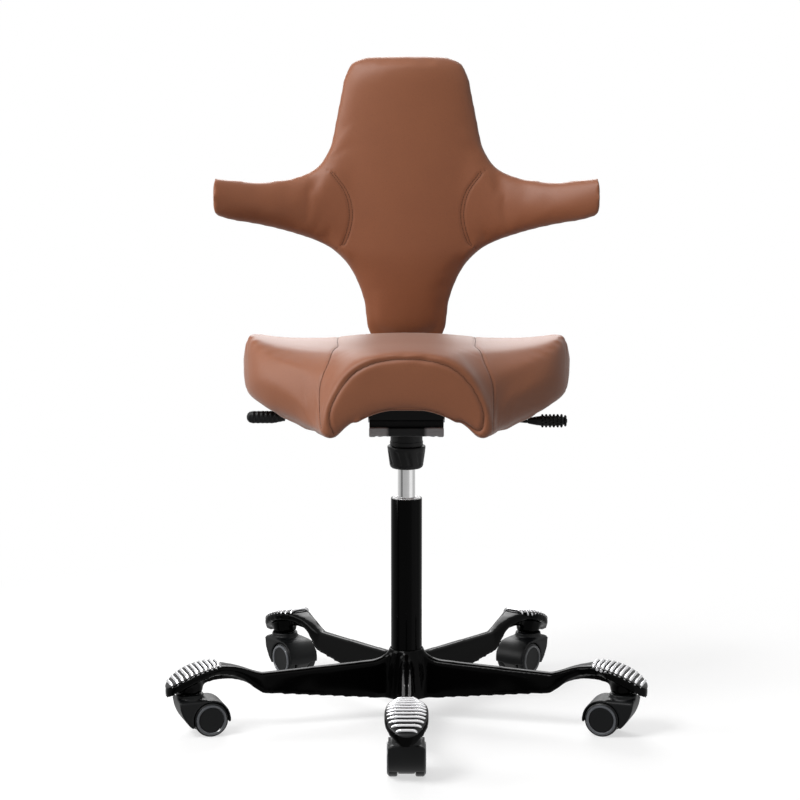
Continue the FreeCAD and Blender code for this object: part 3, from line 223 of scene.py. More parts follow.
def metalMaterial(name, tone, roughness, brush=(20, 20, 1800), strength=0.05):
    finish = Finish(name, Metallic=1.0)
    stretched = finish.add("ShaderNodeMapping", None, {0: finish.place(), "Scale": brush})
    lines = finish.noise(stretched, 1.0, 2, 0.5)
    cloud = finish.noise(finish.place(), 30, 2, 0.5)
    finish.wear("Base Color", finish.blend(lines * 0.4 + cloud * 0.3, tone, scaled(tone, 0.82)))
    finish.wear("Roughness", roughness + lines * 0.06 + cloud * 0.04)
    finish.wear("Normal", finish.bump(lines, strength, 0.0001))
    return finish.material


def apronMaterial(name, middle=0.026, edge=0.034):
    # grey at both ends, black between them, with a soft change
    finish = Finish(name, Specular_IOR_Level=0.3)
    where = finish.place()
    split = finish.add("ShaderNodeSeparateXYZ", None, {0: where})
    half = split.maths("ABSOLUTE", split)
    ends = finish.add("ShaderNodeMapRange", {"interpolation_type": "SMOOTHSTEP"}, {
        "Value": half, "From Min": middle, "From Max": edge})
    dust = finish.noise(where, 1400, 3, 0.6)
    grey = finish.blend(dust, colour(168, 168, 170), colour(186, 186, 188))
    finish.wear("Base Color", finish.blend(ends, colour(5, 5, 6), grey))
    finish.wear("Roughness", 0.4 + dust * 0.06)
    finish.wear("Normal", finish.bump(dust, 0.06, 0.0002))
    return finish.material


finishes = {
    "upholstery": coverMaterial("coverHide"),
    "gloss_black": enamelMaterial("glossEnamel", colour(2, 2, 2), 0.12, 0.02, 500, 0.06),
    "chrome": metalMaterial("chromePlate", colour(240, 240, 240), 0.06, (30, 30, 300), 0.01),
    "steel": metalMaterial("turnedSteel", colour(176, 178, 182), 0.28),
    "black_steel": enamelMaterial("satinBlackSteel", colour(5, 5, 6), 0.4, 0.08, 1600, 0.18),
    "cast_black": enamelMaterial("castBlack", colour(4, 4, 5), 0.46, 0.12, 1200, 0.15),
    "grey_metal": enamelMaterial("greyZinc", colour(128, 128, 130), 0.42, 0.06, 1400, 0.3),
    "bright_alloy": metalMaterial("brightAlloy", colour(236, 236, 238), 0.2, (1200, 60, 60), 0.04),
    "black_plastic": enamelMaterial("mouldedBlack", colour(9, 9, 10), 0.42, 0.12, 2200, 0.24),
    "caster_plastic": enamelMaterial("casterNylon", colour(7, 8, 9), 0.42, 0.1, 1800, 0.22),
    "wheel_plastic": enamelMaterial("wheelTread", colour(8, 9, 10), 0.36, 0.08, 1500, 0.24),
    "pale_plastic": enamelMaterial("bushWhite", colour(214, 214, 216), 0.3, 0.04, 900),
    "rubber": enamelMaterial("springRubber", colour(22, 22, 22), 0.62, 0.2, 1200),
}
extras = {
    "apron": apronMaterial("apronZinc"),
    # the glossy ring's grey base colour is partly its own dark tone and partly a painted reflection
    "wheelRim": enamelMaterial("wheelRimGrey", colour(74, 76, 80), 0.2, 0.03, 700, 0.6, 0.4),
    "wheelDisc": enamelMaterial("wheelDiscMatte", colour(11, 12, 13), 0.5, 0.1, 1600, 0.2),
    "seamThread": enamelMaterial("seamThread", colour(82, 50, 34), 0.7, 0.3, 2500, 0.2),
    "gripBed": enamelMaterial("gripBedBlack", colour(5, 5, 6), 0.3, 0.05, 900, 0.3),
}

slotOf = {entry["node"]: entry["material_slot"] for entry in frame["record"]["subparts"]}
for nodeName, node in frame["nodes"].items():
    node.data.materials.clear()
    node.data.materials.append(finishes[slotOf[nodeName]])
print("materials made:", len(finishes) + len(extras))


# mesh helpers
def bodyOf(nodeName):
    groups = frame["record"]["behaviour"]["bodies"]
    return next(body for body, names in groups.items() if nodeName in names)


def linkMesh(name, mesh):
    piece = bpy.data.objects.new(name, mesh)
    bpy.context.scene.collection.objects.link(piece)
    return piece


def plainMesh(piece):
    # the evaluated result as a plain mesh, with no modifier left on the piece
    bpy.context.view_layer.update()
    graph = bpy.context.evaluated_depsgraph_get()
    made = bpy.data.meshes.new_from_object(piece.evaluated_get(graph))
    piece.modifiers.clear()
    old = piece.data
    piece.data = made
    bpy.data.meshes.remove(old)
    return piece


def copyOfNode(nodeName, name):
    mesh = frame["nodes"][nodeName].data.copy()
    shape = bmesh.new()
    shape.from_mesh(mesh)
    bmesh.ops.remove_doubles(shape, verts=shape.verts, dist=1e-5)
    bmesh.ops.recalc_face_normals(shape, faces=shape.faces)
    shape.to_mesh(mesh)
    shape.free()
    mesh.materials.clear()
    return linkMesh(name, mesh)


def points(mesh):
    flat = np.empty(len(mesh.vertices) * 3)
    mesh.vertices.foreach_get("co", flat)
    return flat.reshape(-1, 3)


def setPoints(mesh, places):
    mesh.vertices.foreach_set("co", np.ascontiguousarray(places).ravel())
    mesh.update()


def normals(mesh):
    flat = np.empty(len(mesh.vertices) * 3)
    mesh.vertices.foreach_get("normal", flat)
    return flat.reshape(-1, 3)


def made(name, shape):
    # the shape as a piece, its faces turned outwards
    bmesh.ops.recalc_face_normals(shape, faces=shape.faces)
    mesh = bpy.data.meshes.new(name)
    shape.to_mesh(mesh)
    shape.free()
    return linkMesh(name, mesh)


def joinRings(shape, rings):
    for first, second in zip(rings, rings[1:]):
        for step in range(len(first)):
            after = (step + 1) % len(first)
            shape.faces.new((first[step], first[after], second[after], second[step]))


def capRings(shape, rings):
    joinRings(shape, rings)
    shape.faces.new(rings[0])
    shape.faces.new(rings[-1][::-1])


def roundedTurn(step, count, power):
    # a point of a unit circle, squared off by the power
    turn = 2 * math.pi * step / count
    return [math.copysign(abs(part) ** power, part) for part in (math.cos(turn), math.sin(turn))]


def relax(mesh, passes, weight=None):
    # evens a mesh out towards its neighbours, more where the weight is higher
    places = points(mesh)
    edges = np.empty(len(mesh.edges) * 2, dtype=np.int64)
    mesh.edges.foreach_get("vertices", edges)
    first, second = edges[0::2], edges[1::2]
    count = np.bincount(edges, minlength=len(places))[:, None]
    amount = 0.5 if weight is None else 0.5 * weight[:, None]
    for step in range(passes):
        total = np.zeros_like(places)
        np.add.at(total, first, places[second])
        np.add.at(total, second, places[first])
        places = places + (total / count - places) * amount
    setPoints(mesh, places)


def remeshed(piece, voxel):
    modifier = piece.modifiers.new("skin", "REMESH")
    modifier.mode = "VOXEL"
    modifier.voxel_size = voxel
    return plainMesh(piece)


def subdivided(piece):
    modifier = piece.modifiers.new("fine", "SUBSURF")
    modifier.levels = modifier.render_levels = 1
    return plainMesh(piece)


def smoothShade(piece, angle=None):
    piece.data.shade_smooth()
    if angle is not None:
        piece.data.set_sharp_from_angle(angle=math.radians(angle))
    return piece


def finished(piece, body, slotName, material=None, stands=()):
    piece.data.materials.clear()
    piece.data.materials.append(material or finishes[slotName])
    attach(piece, body)
    if stands:
        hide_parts(*stands)
    return piece


def addBlock(mesh, low, high):
    # a closed block joined to the mesh, for the remesh to fuse
    shape = bmesh.new()
    shape.from_mesh(mesh)
    low, high = Vector(low), Vector(high)
    made = bmesh.ops.create_cube(shape, size=1.0)["verts"]
    bmesh.ops.scale(shape, vec=high - low, verts=made)
    bmesh.ops.translate(shape, vec=(low + high) / 2, verts=made)
    shape.to_mesh(mesh)
    shape.free()


def softCast(nodeName, name, voxel, passes, block=None, material=None):
    # a casting or moulding with softly rounded edges, from the node's own solid
    piece = copyOfNode(nodeName, name)
    if block:
        addBlock(piece.data, *block)
    remeshed(piece, voxel)
    relax(piece.data, passes)
    smoothShade(piece)
    return finished(piece, bodyOf(nodeName), slotOf[nodeName], material, stands=(nodeName,))


def lathe(name, outline, centre=(0, 0, 0), axis=(0, 0, 1), sides=96, closed=True):
    # outline: (radius, height) pairs, turned round the axis
    shape = bmesh.new()
    up = Vector(axis).normalized()
    side = up.orthogonal().normalized()
    front = up.cross(side)
    rings = []
    for radius, height in outline:
        middle = Vector(centre) + up * height
        if radius < 1e-7:
            rings.append([shape.verts.new(middle)])
            continue
        turns = [2 * math.pi * step / sides for step in range(sides)]
        rings.append([
            shape.verts.new(middle + (side * math.cos(turn) + front * math.sin(turn)) * radius)
            for turn in turns])
    pairs = list(zip(rings, rings[1:]))
    if closed:
        pairs.append((rings[-1], rings[0]))
    for low, high in pairs:
        for step in range(sides):
            after = (step + 1) % sides
            if len(low) == 1 and len(high) == 1:
                break
            if len(low) == 1:
                shape.faces.new((low[0], high[after], high[step]))
            elif len(high) == 1:
                shape.faces.new((low[step], low[after], high[0]))
            else:
                shape.faces.new((low[step], low[after], high[after], high[step]))
    return smoothShade(made(name, shape), 35)


# soft goods
def swell(piece, pressure, cap, hold):
    # pressure in the cover pushes it out; hold is how far each point may follow
    rest = points(piece.data)
    modifier = piece.modifiers.new("cover", "CLOTH")
    modifier.settings.quality = 5
    modifier.settings.mass = 0.3
    modifier.settings.use_pressure = True
    modifier.settings.uniform_pressure_force = pressure
    modifier.settings.effector_weights.gravity = 0
    modifier.point_cache.frame_start = 1
    modifier.point_cache.frame_end = 20
    scene = bpy.context.scene
    for number in range(1, 21):
        scene.frame_set(number)
        bpy.context.view_layer.update()
    pushed = points(piece.evaluated_get(bpy.context.evaluated_depsgraph_get()).data)
    piece.modifiers.clear()
    scene.frame_set(1)
    move = pushed - rest
    length = np.linalg.norm(move, axis=1, keepdims=True)
    move *= np.minimum(1, cap / np.maximum(length, 1e-9)) * hold[:, None]
    setPoints(piece.data, rest + move)
    relax(piece.data, 2)


def evenLine(corners, step=0.002, rounds=4):
    # a polyline through the corners, rounded and evenly stepped
    line = [Vector(corner) for corner in corners]
    for turn in range(rounds):
        cut = [line[0]]
        for first, second in zip(line, line[1:]):
            cut += [first.lerp(second, 0.25), first.lerp(second, 0.75)]
        line = cut + [line[-1]]
    spaced = [line[0]]
    left = step
    for first, second in zip(line, line[1:]):
        span = (second - first).length
        gone = 0.0
        while span - gone >= left:
            gone += left
            spaced.append(first.lerp(second, gone / span))
            left = step
        left -= span - gone
    return spaced


def settled(line, surface, rounds=3):
    # the line laid on the surface, with its small steps evened out
    laid = [surface.find_nearest(point)[0] for point in line]
    for turn in range(rounds):
        laid = [laid[0]] + [(laid[k - 1] + laid[k] * 2 + laid[k + 1]) / 4
                            for k in range(1, len(laid) - 1)] + [laid[-1]]
        laid = [surface.find_nearest(point)[0] for point in laid]
    return laid


def sewn(piece, lines, depth, width, shade, shadeDarkness):
    # draws the cover in along sewn lines, and paints shade into the bottom of each groove
    mesh = piece.data
    marks = [point for line in lines for point in line]
    tree = KDTree(len(marks))
    for number, mark in enumerate(marks):
        tree.insert(mark, number)
    tree.balance()
    places, outward = points(mesh), normals(mesh)
    nearness = np.zeros(len(places))
    for number, place in enumerate(places):
        distance = tree.find(place)[2]
        if distance < 4 * width:
            places[number] -= outward[number] * depth * math.exp(-(distance / width) ** 2)
            nearness[number] = math.exp(-(distance / shade) ** 2)
    setPoints(mesh, places)
    layer = mesh.attributes.get("seamShade") or mesh.attributes.new("seamShade", "FLOAT", "POINT")
    before = np.empty(len(places), dtype=np.float32)
    layer.data.foreach_get("value", before)
    layer.data.foreach_set("value", np.maximum(before, shadeDarkness * nearness).astype(np.float32))


def surfaceOf(piece):
    mesh = piece.data
    return BVHTree.FromPolygons([v.co for v in mesh.vertices], [p.vertices for p in mesh.polygons])


def cast(surface, rays):
    # where rays, each a start and a point that it aims at, first meet the surface
    found = [surface.ray_cast(Vector(start), (Vector(aim) - Vector(start)).normalized())[0]
             for start, aim in rays]
    return [point for point in found if point]


def endLine(surface, x, middle, reach, steps):
    # a line round a piece close to its end
    turns = [2 * math.pi * step / (steps - 1) for step in range(steps)]
    ring = cast(surface, [
        ((x, middle[0] + reach * math.cos(turn), middle[1] + reach * math.sin(turn)), (x, *middle))
        for turn in turns])
    return settled(evenLine(ring, rounds=1), surface)


eye = Vector(camera["place"])


# seat
seat = {
    "voxel": 0.0055,
    "start": 0.003,     # how much smaller the pad starts
    "cap": 0.0055,
    "roundFront": 16,   # passes that round the front rim
    # seam between saddle and wing, half width and height seen from the front
    "wingSeam": [(0.1090, 0.6240), (0.1170, 0.6043), (0.1265, 0.5850), (0.1325, 0.5680),
                 (0.1343, 0.5521), (0.1343, 0.5276), (0.1308, 0.4997), (0.1275, 0.4880)],
    "wingTop": [(0.110, 0.176), (0.112, 0.10), (0.110, 0.0), (0.107, -0.05)],
    "frontArch": [(0.0, 0.6118), (0.0412, 0.6083), (0.0756, 0.5946), (0.0984, 0.5703),
                  (0.1135, 0.5426), (0.1180, 0.5252), (0.1160, 0.5079), (0.1098, 0.4965)],
    "frontUnder": [(0.1020, 0.4930), (0.0935, 0.4980), (0.0823, 0.5088), (0.0686, 0.5190),
                   (0.0548, 0.5268), (0.0273, 0.5335), (0.0, 0.5352)],
    "seamPlane": -0.17,  # distance at which the two seams above are given, seen by the camera
    "panelPlane": -0.2,
    "endSeam": 0.2535,   # half width of the seam round each wing end
    # depth, width and shade width of the sewn grooves, and how dark the painted shade in them is
    "wingSewn": (0.0016, 0.0026, 0.0016, 0.3),
    "panelSewn": (0.0026, 0.0034, 0.0020, 0.4),
    "endSewn": (0.0008, 0.0024, 0.0022, 0.0),
    # how far the lower edge settles, by half width, up or down
    "settleAt": [0.0, 0.0273, 0.0583, 0.0754, 0.0892, 0.0995, 0.115, 0.1305, 0.1566, 0.172, 0.188,
                 0.2018, 0.2332, 0.26],
    "settleBy": [-0.0040, -0.0042, -0.0100, -0.0124, -0.0128, -0.0120, -0.0066, -0.0044, -0.0050,
                 0.0, 0.0038, 0.0073, 0.0096, 0.0090],
    "tuck": 0.0045,      # how far the lower outer corners draw in
}


def ease(value):
    value = np.clip(value, 0, 1)
    return value * value * (3 - 2 * value)


def settleSeat(mesh):
    # the cover's own weight and pull: fuller flaps, straight lower edges, drawn-in corners
    places = points(mesh)
    half = np.abs(places[:, 0])
    by = np.interp(half, seat["settleAt"], seat["settleBy"])
    front = ease((-0.045 - places[:, 1]) / 0.05)
    low = ease((0.585 - places[:, 2]) / 0.055)
    places[:, 2] += by * low * np.where(by < 0, front, 1.0)
    corner = ease((half - 0.2) / 0.05) * ease((0.62 - places[:, 2]) / 0.06)
    places[:, 0] -= np.sign(places[:, 0]) * seat["tuck"] * corner
    setPoints(mesh, places)


def makeSeat():
    piece = copyOfNode("seat_cushion", "seatPad")
    remeshed(piece, seat["voxel"])
    places = points(piece.data)
    front = np.clip((-0.150 - places[:, 1]) / 0.04, 0, 1)
    relax(piece.data, 4)
    relax(piece.data, seat["roundFront"], front)
    hold = np.ones(len(places))
    outward = normals(piece.data)
    under = (outward[:, 2] < -0.75) & (places[:, 2] > 0.520)
    hold[under] = 0.1
    setPoints(piece.data, points(piece.data) - outward * (seat["start"] * hold)[:, None])
    swell(piece, 4, seat["cap"], hold)
    settleSeat(piece.data)
    subdivided(piece)
    surface = surfaceOf(piece)
    lines = []
    for way in (-1, 1):
        top = cast(surface, [((way * x, y, 0.9), (way * x, y, 0)) for x, y in seat["wingTop"]])
        drop = cast(surface, [(eye, (way * x, seat["seamPlane"], z)) for x, z in seat["wingSeam"]])
        lines.append(settled(evenLine(top + drop), surface))
    arch, under = seat["frontArch"], seat["frontUnder"]
    outline = [(-x, z) for x, z in arch[:0:-1]] + arch + under + [(-x, z) for x, z in under[-2::-1]]
    panel = cast(surface, [(eye, (x, seat["panelPlane"], z)) for x, z in outline])
    panel = settled(evenLine(panel), surface)
    ends = [endLine(surface, way * seat["endSeam"], (-0.01, 0.565), 0.25, 40) for way in (-1, 1)]
    sewn(piece, lines, *seat["wingSewn"])
    sewn(piece, [panel], *seat["panelSewn"])
    sewn(piece, ends, *seat["endSewn"])
    smoothShade(piece)
    finished(piece, "tilt", "upholstery", stands=("seat_cushion",))
    laid = surfaceOf(piece)
    return [[laid.find_nearest(point)[0] for point in line] for line in lines + [panel]]


seatLines = makeSeat()
print("seat pad made")

# back
back = {
    "voxel": 0.005,
    "start": 0.003,
    "cap": 0.0055,
    "seam": [(0.1464, 0.8829), (0.1198, 0.8637), (0.0994, 0.8379), (0.0912, 0.8065),
             (0.0940, 0.7783), (0.1040, 0.7501), (0.1181, 0.7308)],
    "double": 0.0050,     # distance between the two sewn lines
    "seamPlane": 0.2,
    "endSeam": 0.3165,
    # depth, width and shade width of the sewn grooves, and how dark the painted shade in them is
    "sewn": (0.0011, 0.0020, 0.0014, 0.25),
    "endSewn": (0.0008, 0.0022, 0.0022, 0.0),
    "drawnBack": 0.022,   # how far the lower end lies back
}


def makeBack():
    piece = copyOfNode("back_cushion", "backPad")
    remeshed(piece, back["voxel"])
    relax(piece.data, 10)
    hold = np.ones(len(piece.data.vertices))
    outward = normals(piece.data)
    setPoints(piece.data, points(piece.data) - outward * back["start"])
    swell(piece, 4, back["cap"], hold)
    # the lower end draws back a little, as the board inside curves away
    places = points(piece.data)
    lower = np.clip((0.74 - places[:, 2]) / 0.16, 0, 1.1)
    ahead = np.clip((0.235 - places[:, 1]) / 0.03, 0, 1)
    places[:, 1] += back["drawnBack"] * lower ** 1.5 * ahead
    setPoints(piece.data, places)
    subdivided(piece)
    surface = surfaceOf(piece)
    lines = []
    for way in (-1, 1):
        for offset in (-back["double"] / 2, back["double"] / 2):
            seam = [(way * (x + offset), z) for x, z in back["seam"]]
            loop = cast(surface, [(eye, (x, back["seamPlane"], z)) for x, z in seam])
            loop += cast(surface, [((x, 0.6, z), (x, 0, z)) for x, z in seam[::-1]])
            loop.append(loop[0])
            lines.append(settled(evenLine(loop), surface))
    ends = [endLine(surface, way * back["endSeam"], (0.15, 0.832), 0.12, 30) for way in (-1, 1)]
    sewn(piece, lines, *back["sewn"])
    sewn(piece, ends, *back["endSewn"])
    smoothShade(piece)
    finished(piece, "back", "upholstery", stands=("back_cushion",))
    laid = surfaceOf(piece)
    return [[laid.find_nearest(point)[0] for point in line] for line in lines]


backLines = makeBack()
print("back pad made")

# stitches
stitch = {"length": 0.0034, "gap": 0.0009, "thick": 0.00045}


class Repeats(Graph):
    # a Geometry Nodes group that sets copies of one shape on points
    def __init__(self, name, source, *numbers):
        super().__init__(bpy.data.node_groups.new(name, "GeometryNodeTree"))
        sockets = self.tree.interface
        sockets.new_socket(source, in_out="INPUT", socket_type="NodeSocketGeometry")
        for number in numbers:
            sockets.new_socket(number, in_out="INPUT", socket_type="NodeSocketFloat")
        sockets.new_socket("copies", in_out="OUTPUT", socket_type="NodeSocketGeometry")
        given = self.tree.nodes.new("NodeGroupInput")
        self.wires = {socket.name: Wire(self, socket) for socket in given.outputs if socket.name}

    def stored(self, name, kind="FLOAT_VECTOR"):
        return self.add("GeometryNodeInputNamedAttribute", {"data_type": kind}, {"Name": name})

    def setOut(self, material, **copies):
        placed = self.add("GeometryNodeInstanceOnPoints", None, copies)
        real = self.add("GeometryNodeRealizeInstances", None, {0: placed})
        dressed = self.add("GeometryNodeSetMaterial", None, {
            "Geometry": real, "Material": material})
        end = self.tree.nodes.new("NodeGroupOutput")
        self.tree.links.new(dressed.socket, end.inputs[0])
        return self.tree


def repeated(piece, tree, **numbers):
    # the group's copies as the piece's plain mesh
    modifier = piece.modifiers.new("copies", "NODES")
    modifier.node_group = tree
    for item in tree.interface.items_tree:
        if item.item_type == "SOCKET" and item.in_out == "INPUT" and item.name in numbers:
            modifier[item.identifier] = numbers[item.name]
    return plainMesh(piece)


def stitchTree():
    # short threads along every edge line of the input
    graph = Repeats("stitchRow", "lines", "pitch", "length", "thick")
    wires = graph.wires
    curve = graph.add("GeometryNodeMeshToCurve", None, {0: wires["lines"]})
    evened = graph.add("GeometryNodeResampleCurve", {"mode": "LENGTH"}, {
        "Curve": curve, "Length": wires["pitch"]})
    spots = graph.add("GeometryNodeCurveToPoints", {"mode": "EVALUATED"}, {"Curve": evened})
    tangent = Wire(graph, spots.socket.node.outputs["Tangent"])
    turn = graph.add("FunctionNodeAlignRotationToVector", {"axis": "Z"}, {"Vector": tangent})
    thread = graph.add("GeometryNodeMeshCylinder", None, {
        "Vertices": 6, "Side Segments": 1, "Radius": wires["thick"], "Depth": wires["length"]})
    return graph.setOut(extras["seamThread"], Points=spots, Instance=thread, Rotation=turn)


stitchRows = stitchTree()


def sewThreads(name, lines, body):
    mesh = bpy.data.meshes.new(name)
    corners, edges = [], []
    for line in lines:
        start = len(corners)
        corners += [tuple(point) for point in line]
        edges += [(start + k, start + k + 1) for k in range(len(line) - 1)]
    mesh.from_pydata(corners, edges, [])
    piece = linkMesh(name, mesh)
    repeated(piece, stitchRows, pitch=stitch["length"] + stitch["gap"], length=stitch["length"],
             thick=stitch["thick"])
    smoothShade(piece, 40)
    finished(piece, body, "upholstery", material=extras["seamThread"])


sewThreads("seatStitches", seatLines, "tilt")
sewThreads("backStitches", backLines, "back")
print("stitches made")

# castings and mouldings
# the tilt box's front, as wide as the apron under it
housingFront = ((-0.0583, -0.0845, 0.4845), (0.0583, -0.0700, 0.4995))
softCast("base_star", "baseCasting", 0.0026, 10)
for number in range(1, 6):
    softCast(f"caster_{number}_hood", f"casterHood{number}", 0.0016, 4)
softCast("mech_housing", "tiltBox", 0.0016, 3, block=housingFront)
softCast("housing_tray", "tiltApron", 0.0012, 2, material=extras["apron"])
softCast("back_bracket", "backBracket", 0.002, 4)
print("castings made")

# column and gas lift
column = {
    "rim": 0.0012, "lip": 0.0004,
    "wall": 0.0020,      # of the sleeve
    "taperTop": 0.116,   # height where the sleeve's lower taper ends
    "ring": 0.01405,     # radius of the guide ring's bore
    "valve": (0.00505, 0.00405),   # the cylinder's lower and upper bores
    "chamber": 0.012,
}


def makeColumn():
    low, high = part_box("column_tube")
    radius, top, foot = high.x, high.z, low.z
    rim, taper, inner = column["rim"], column["taperTop"], radius - column["wall"]
    finished(lathe("columnSleeve", [
        (radius - 0.0016, foot), (radius - 0.0013, foot + 0.0005), (radius, taper),
        (radius, top - rim), (radius - rim * 0.3, top - rim * 0.3), (radius - rim, top),
        (inner, top), (inner, taper), (inner - 0.0013, foot)]),
        "base", "gloss_black", stands=("column_tube",))
    low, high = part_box("guide_bush")
    lip, ring = top + column["lip"], column["ring"]
    finished(lathe("guideRing", [
        (ring, low.z), (high.x, low.z), (high.x, lip - 0.0006), (high.x - 0.0006, lip),
        (ring + 0.00245, lip), (ring + 0.00095, lip - 0.0008), (ring, lip - 0.002)]),
        "base", "pale_plastic", stands=("guide_bush",))
    low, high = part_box("gas_cylinder")
    radius, chamber = high.x, column["chamber"]
    lower, upper = column["valve"]
    finished(lathe("liftCylinder", [
        (lower, low.z), (radius - 0.001, low.z), (radius, low.z + 0.001), (radius, high.z - 0.024),
        (radius - 0.0008, high.z), (upper, high.z), (upper, high.z - 0.088),
        (chamber, high.z - 0.088), (chamber, low.z + 0.01), (lower, low.z + 0.01)]),
        "lift", "chrome", stands=("gas_cylinder",))


makeColumn()

# knob
knob = {
    "flutes": 10, "lean": 0.35, "depth": 0.0013, "sides": 240, "rows": 40,
    "wide": 0.0305, "narrow": 0.0270, "bore": 0.02105, "floor": 0.4126,
    "throat": 0.0150,   # radius of the hole in its floor
}


def makeKnob():
    low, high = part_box("tension_knob")
    bottom, top = low.z, high.z
    height = top - bottom
    wide, narrow, bore, throat = [knob[key] for key in ("wide", "narrow", "bore", "throat")]
    shape = bmesh.new()
    rings = []
    outline = [(throat, bottom), (narrow - 0.007, bottom), (narrow - 0.0035, bottom + 0.0008),
               (narrow - 0.0012, bottom + 0.0028), (narrow, bottom + 0.006)]
    rows = knob["rows"]
    for row in range(1, rows + 1):
        share = row / rows
        outline.append((narrow + (wide - narrow) * share,
                        bottom + 0.006 + (height - 0.010) * share))
    outline += [(wide, top - 0.001), (wide - 0.0004, top - 0.0003), (wide - 0.001, top),
                (bore, top), (bore, knob["floor"]), (throat, knob["floor"])]
    for radius, z in outline:
        share = (z - bottom - 0.006) / (height - 0.012)
        fluted = radius > narrow - 0.0001 and 0 <= share <= 1
        ring = []
        for side in range(knob["sides"]):
            turn = 2 * math.pi * side / knob["sides"]
            lean = knob["lean"] * (z - bottom) / height
            wave = 0.5 + 0.5 * math.cos(knob["flutes"] * (turn + lean))
            cut = 0.0
            if fluted:
                fade = min(1, share / 0.12, (1 - share) / 0.12)
                cut = knob["depth"] * max(0, wave - 0.55) / 0.45 * max(0, fade)
            reach = radius - cut
            ring.append(shape.verts.new((reach * math.cos(turn), reach * math.sin(turn), z)))
        rings.append(ring)
    joinRings(shape, rings + rings[:1])
    piece = smoothShade(made("tensionKnob", shape), 40)
    finished(piece, "knob", "black_plastic", stands=("tension_knob",))
    low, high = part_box("knob_neck")
    radius = high.x
    finished(lathe("knobNeck", [
        (0.0148, low.z), (0.021, low.z), (0.021, 0.445), (radius - 0.0006, 0.445), (radius, 0.4456),
        (radius, 0.452), (radius - 0.0008, 0.4526), (radius - 0.0008, high.z - 0.004),
        (radius - 0.0012, high.z), (0.0148, high.z)]),
        "lift", "black_plastic", stands=("knob_neck",))


makeKnob()
print("column and knob made")

# foot grips
grip = {
    "start": 0.309, "end": 0.3985, "half": 0.0315,   # the oval, from the column outwards
    "crownAxis": 0.311, "crownHeight": 0.116, "crownRadius": 0.138,
    "oval": 2.2,          # roundness of the oval's outline
    "ribs": 11, "pitch": 0.0077, "first": 0.3158,
    "width": 0.0050, "rise": 0.0033, "droop": 0.0060,
    # rings of the bed, as a share of the oval, and how much deeper each lies
    "bedLayers": [(0.02, 0.0), (0.3, 0.0), (0.6, 0.0), (0.85, 0.0), (0.96, 0.0002), (1.0, 0.0008),
                  (1.0, 0.0016)],
    "bedSides": 72,
}


def crownAt(station, drop=0.0):
    radius = grip["crownRadius"] - drop
    return (grip["crownHeight"] - grip["crownRadius"]
            + math.sqrt(radius ** 2 - (station - grip["crownAxis"]) ** 2))


def ovalMiddle():
    return (grip["start"] + grip["end"]) / 2, (grip["end"] - grip["start"]) / 2


def ovalHalf(station):
    middle, reach = ovalMiddle()
    share = min(1.0, abs(station - middle) / reach)
    return grip["half"] * (1 - share ** grip["oval"]) ** (1 / grip["oval"])


def ribTree():
    # a rounded rib with drooping ends, set across each point as wide as the point's span
    graph = Repeats("ribRow", "places", "radius", "droop")
    wires = graph.wires
    line = graph.add("GeometryNodeCurvePrimitiveLine", None, {
        "Start": (0, -1, 0), "End": (0, 1, 0)})
    fine = graph.add("GeometryNodeResampleCurve", {"mode": "COUNT"}, {"Curve": line, "Count": 41})
    along = graph.add("GeometryNodeSplineParameter", out="Factor") * 2.0 - 1.0
    edge = along.maths("ABSOLUTE", along) ** 5.0
    sunk = graph.add("ShaderNodeCombineXYZ", None, {2: edge * wires["droop"] * -1.0})
    bent = graph.add("GeometryNodeSetPosition", None, {"Geometry": fine, "Offset": sunk})
    tip = along.maths("ABSOLUTE", along) ** 16.0
    body = (1.0 - tip).maths("SQRT", 1.0 - tip * 0.999)
    thick = graph.add("GeometryNodeSetCurveRadius", None, {"Curve": bent, "Radius": body})
    section = graph.add("GeometryNodeCurvePrimitiveCircle", {"mode": "RADIUS"}, {
        "Resolution": 14, "Radius": wires["radius"]})
    rib = graph.add("GeometryNodeCurveToMesh", None, {
        "Curve": thick, "Profile Curve": section, "Fill Caps": True})
    turned = graph.add("FunctionNodeEulerToRotation", None, {0: graph.stored("spin")})
    stretch = graph.add("ShaderNodeCombineXYZ", None, {
        0: 1.0, 1: graph.stored("span", "FLOAT"), 2: 1.0})
    return graph.setOut(finishes["bright_alloy"], Points=wires["places"], Instance=rib,
                        Rotation=turned, Scale=stretch)


ribRows = ribTree()


def spots(name, places, **attributes):
    # loose points, each attribute a number or a vector per point
    mesh = bpy.data.meshes.new(name)
    mesh.from_pydata(places, [], [])
    for key, values in attributes.items():
        if isinstance(values[0], float):
            mesh.attributes.new(key, "FLOAT", "POINT").data.foreach_set("value", values)
        else:
            flat = [part for value in values for part in value]
            mesh.attributes.new(key, "FLOAT_VECTOR", "POINT").data.foreach_set("vector", flat)
    return linkMesh(name, mesh)


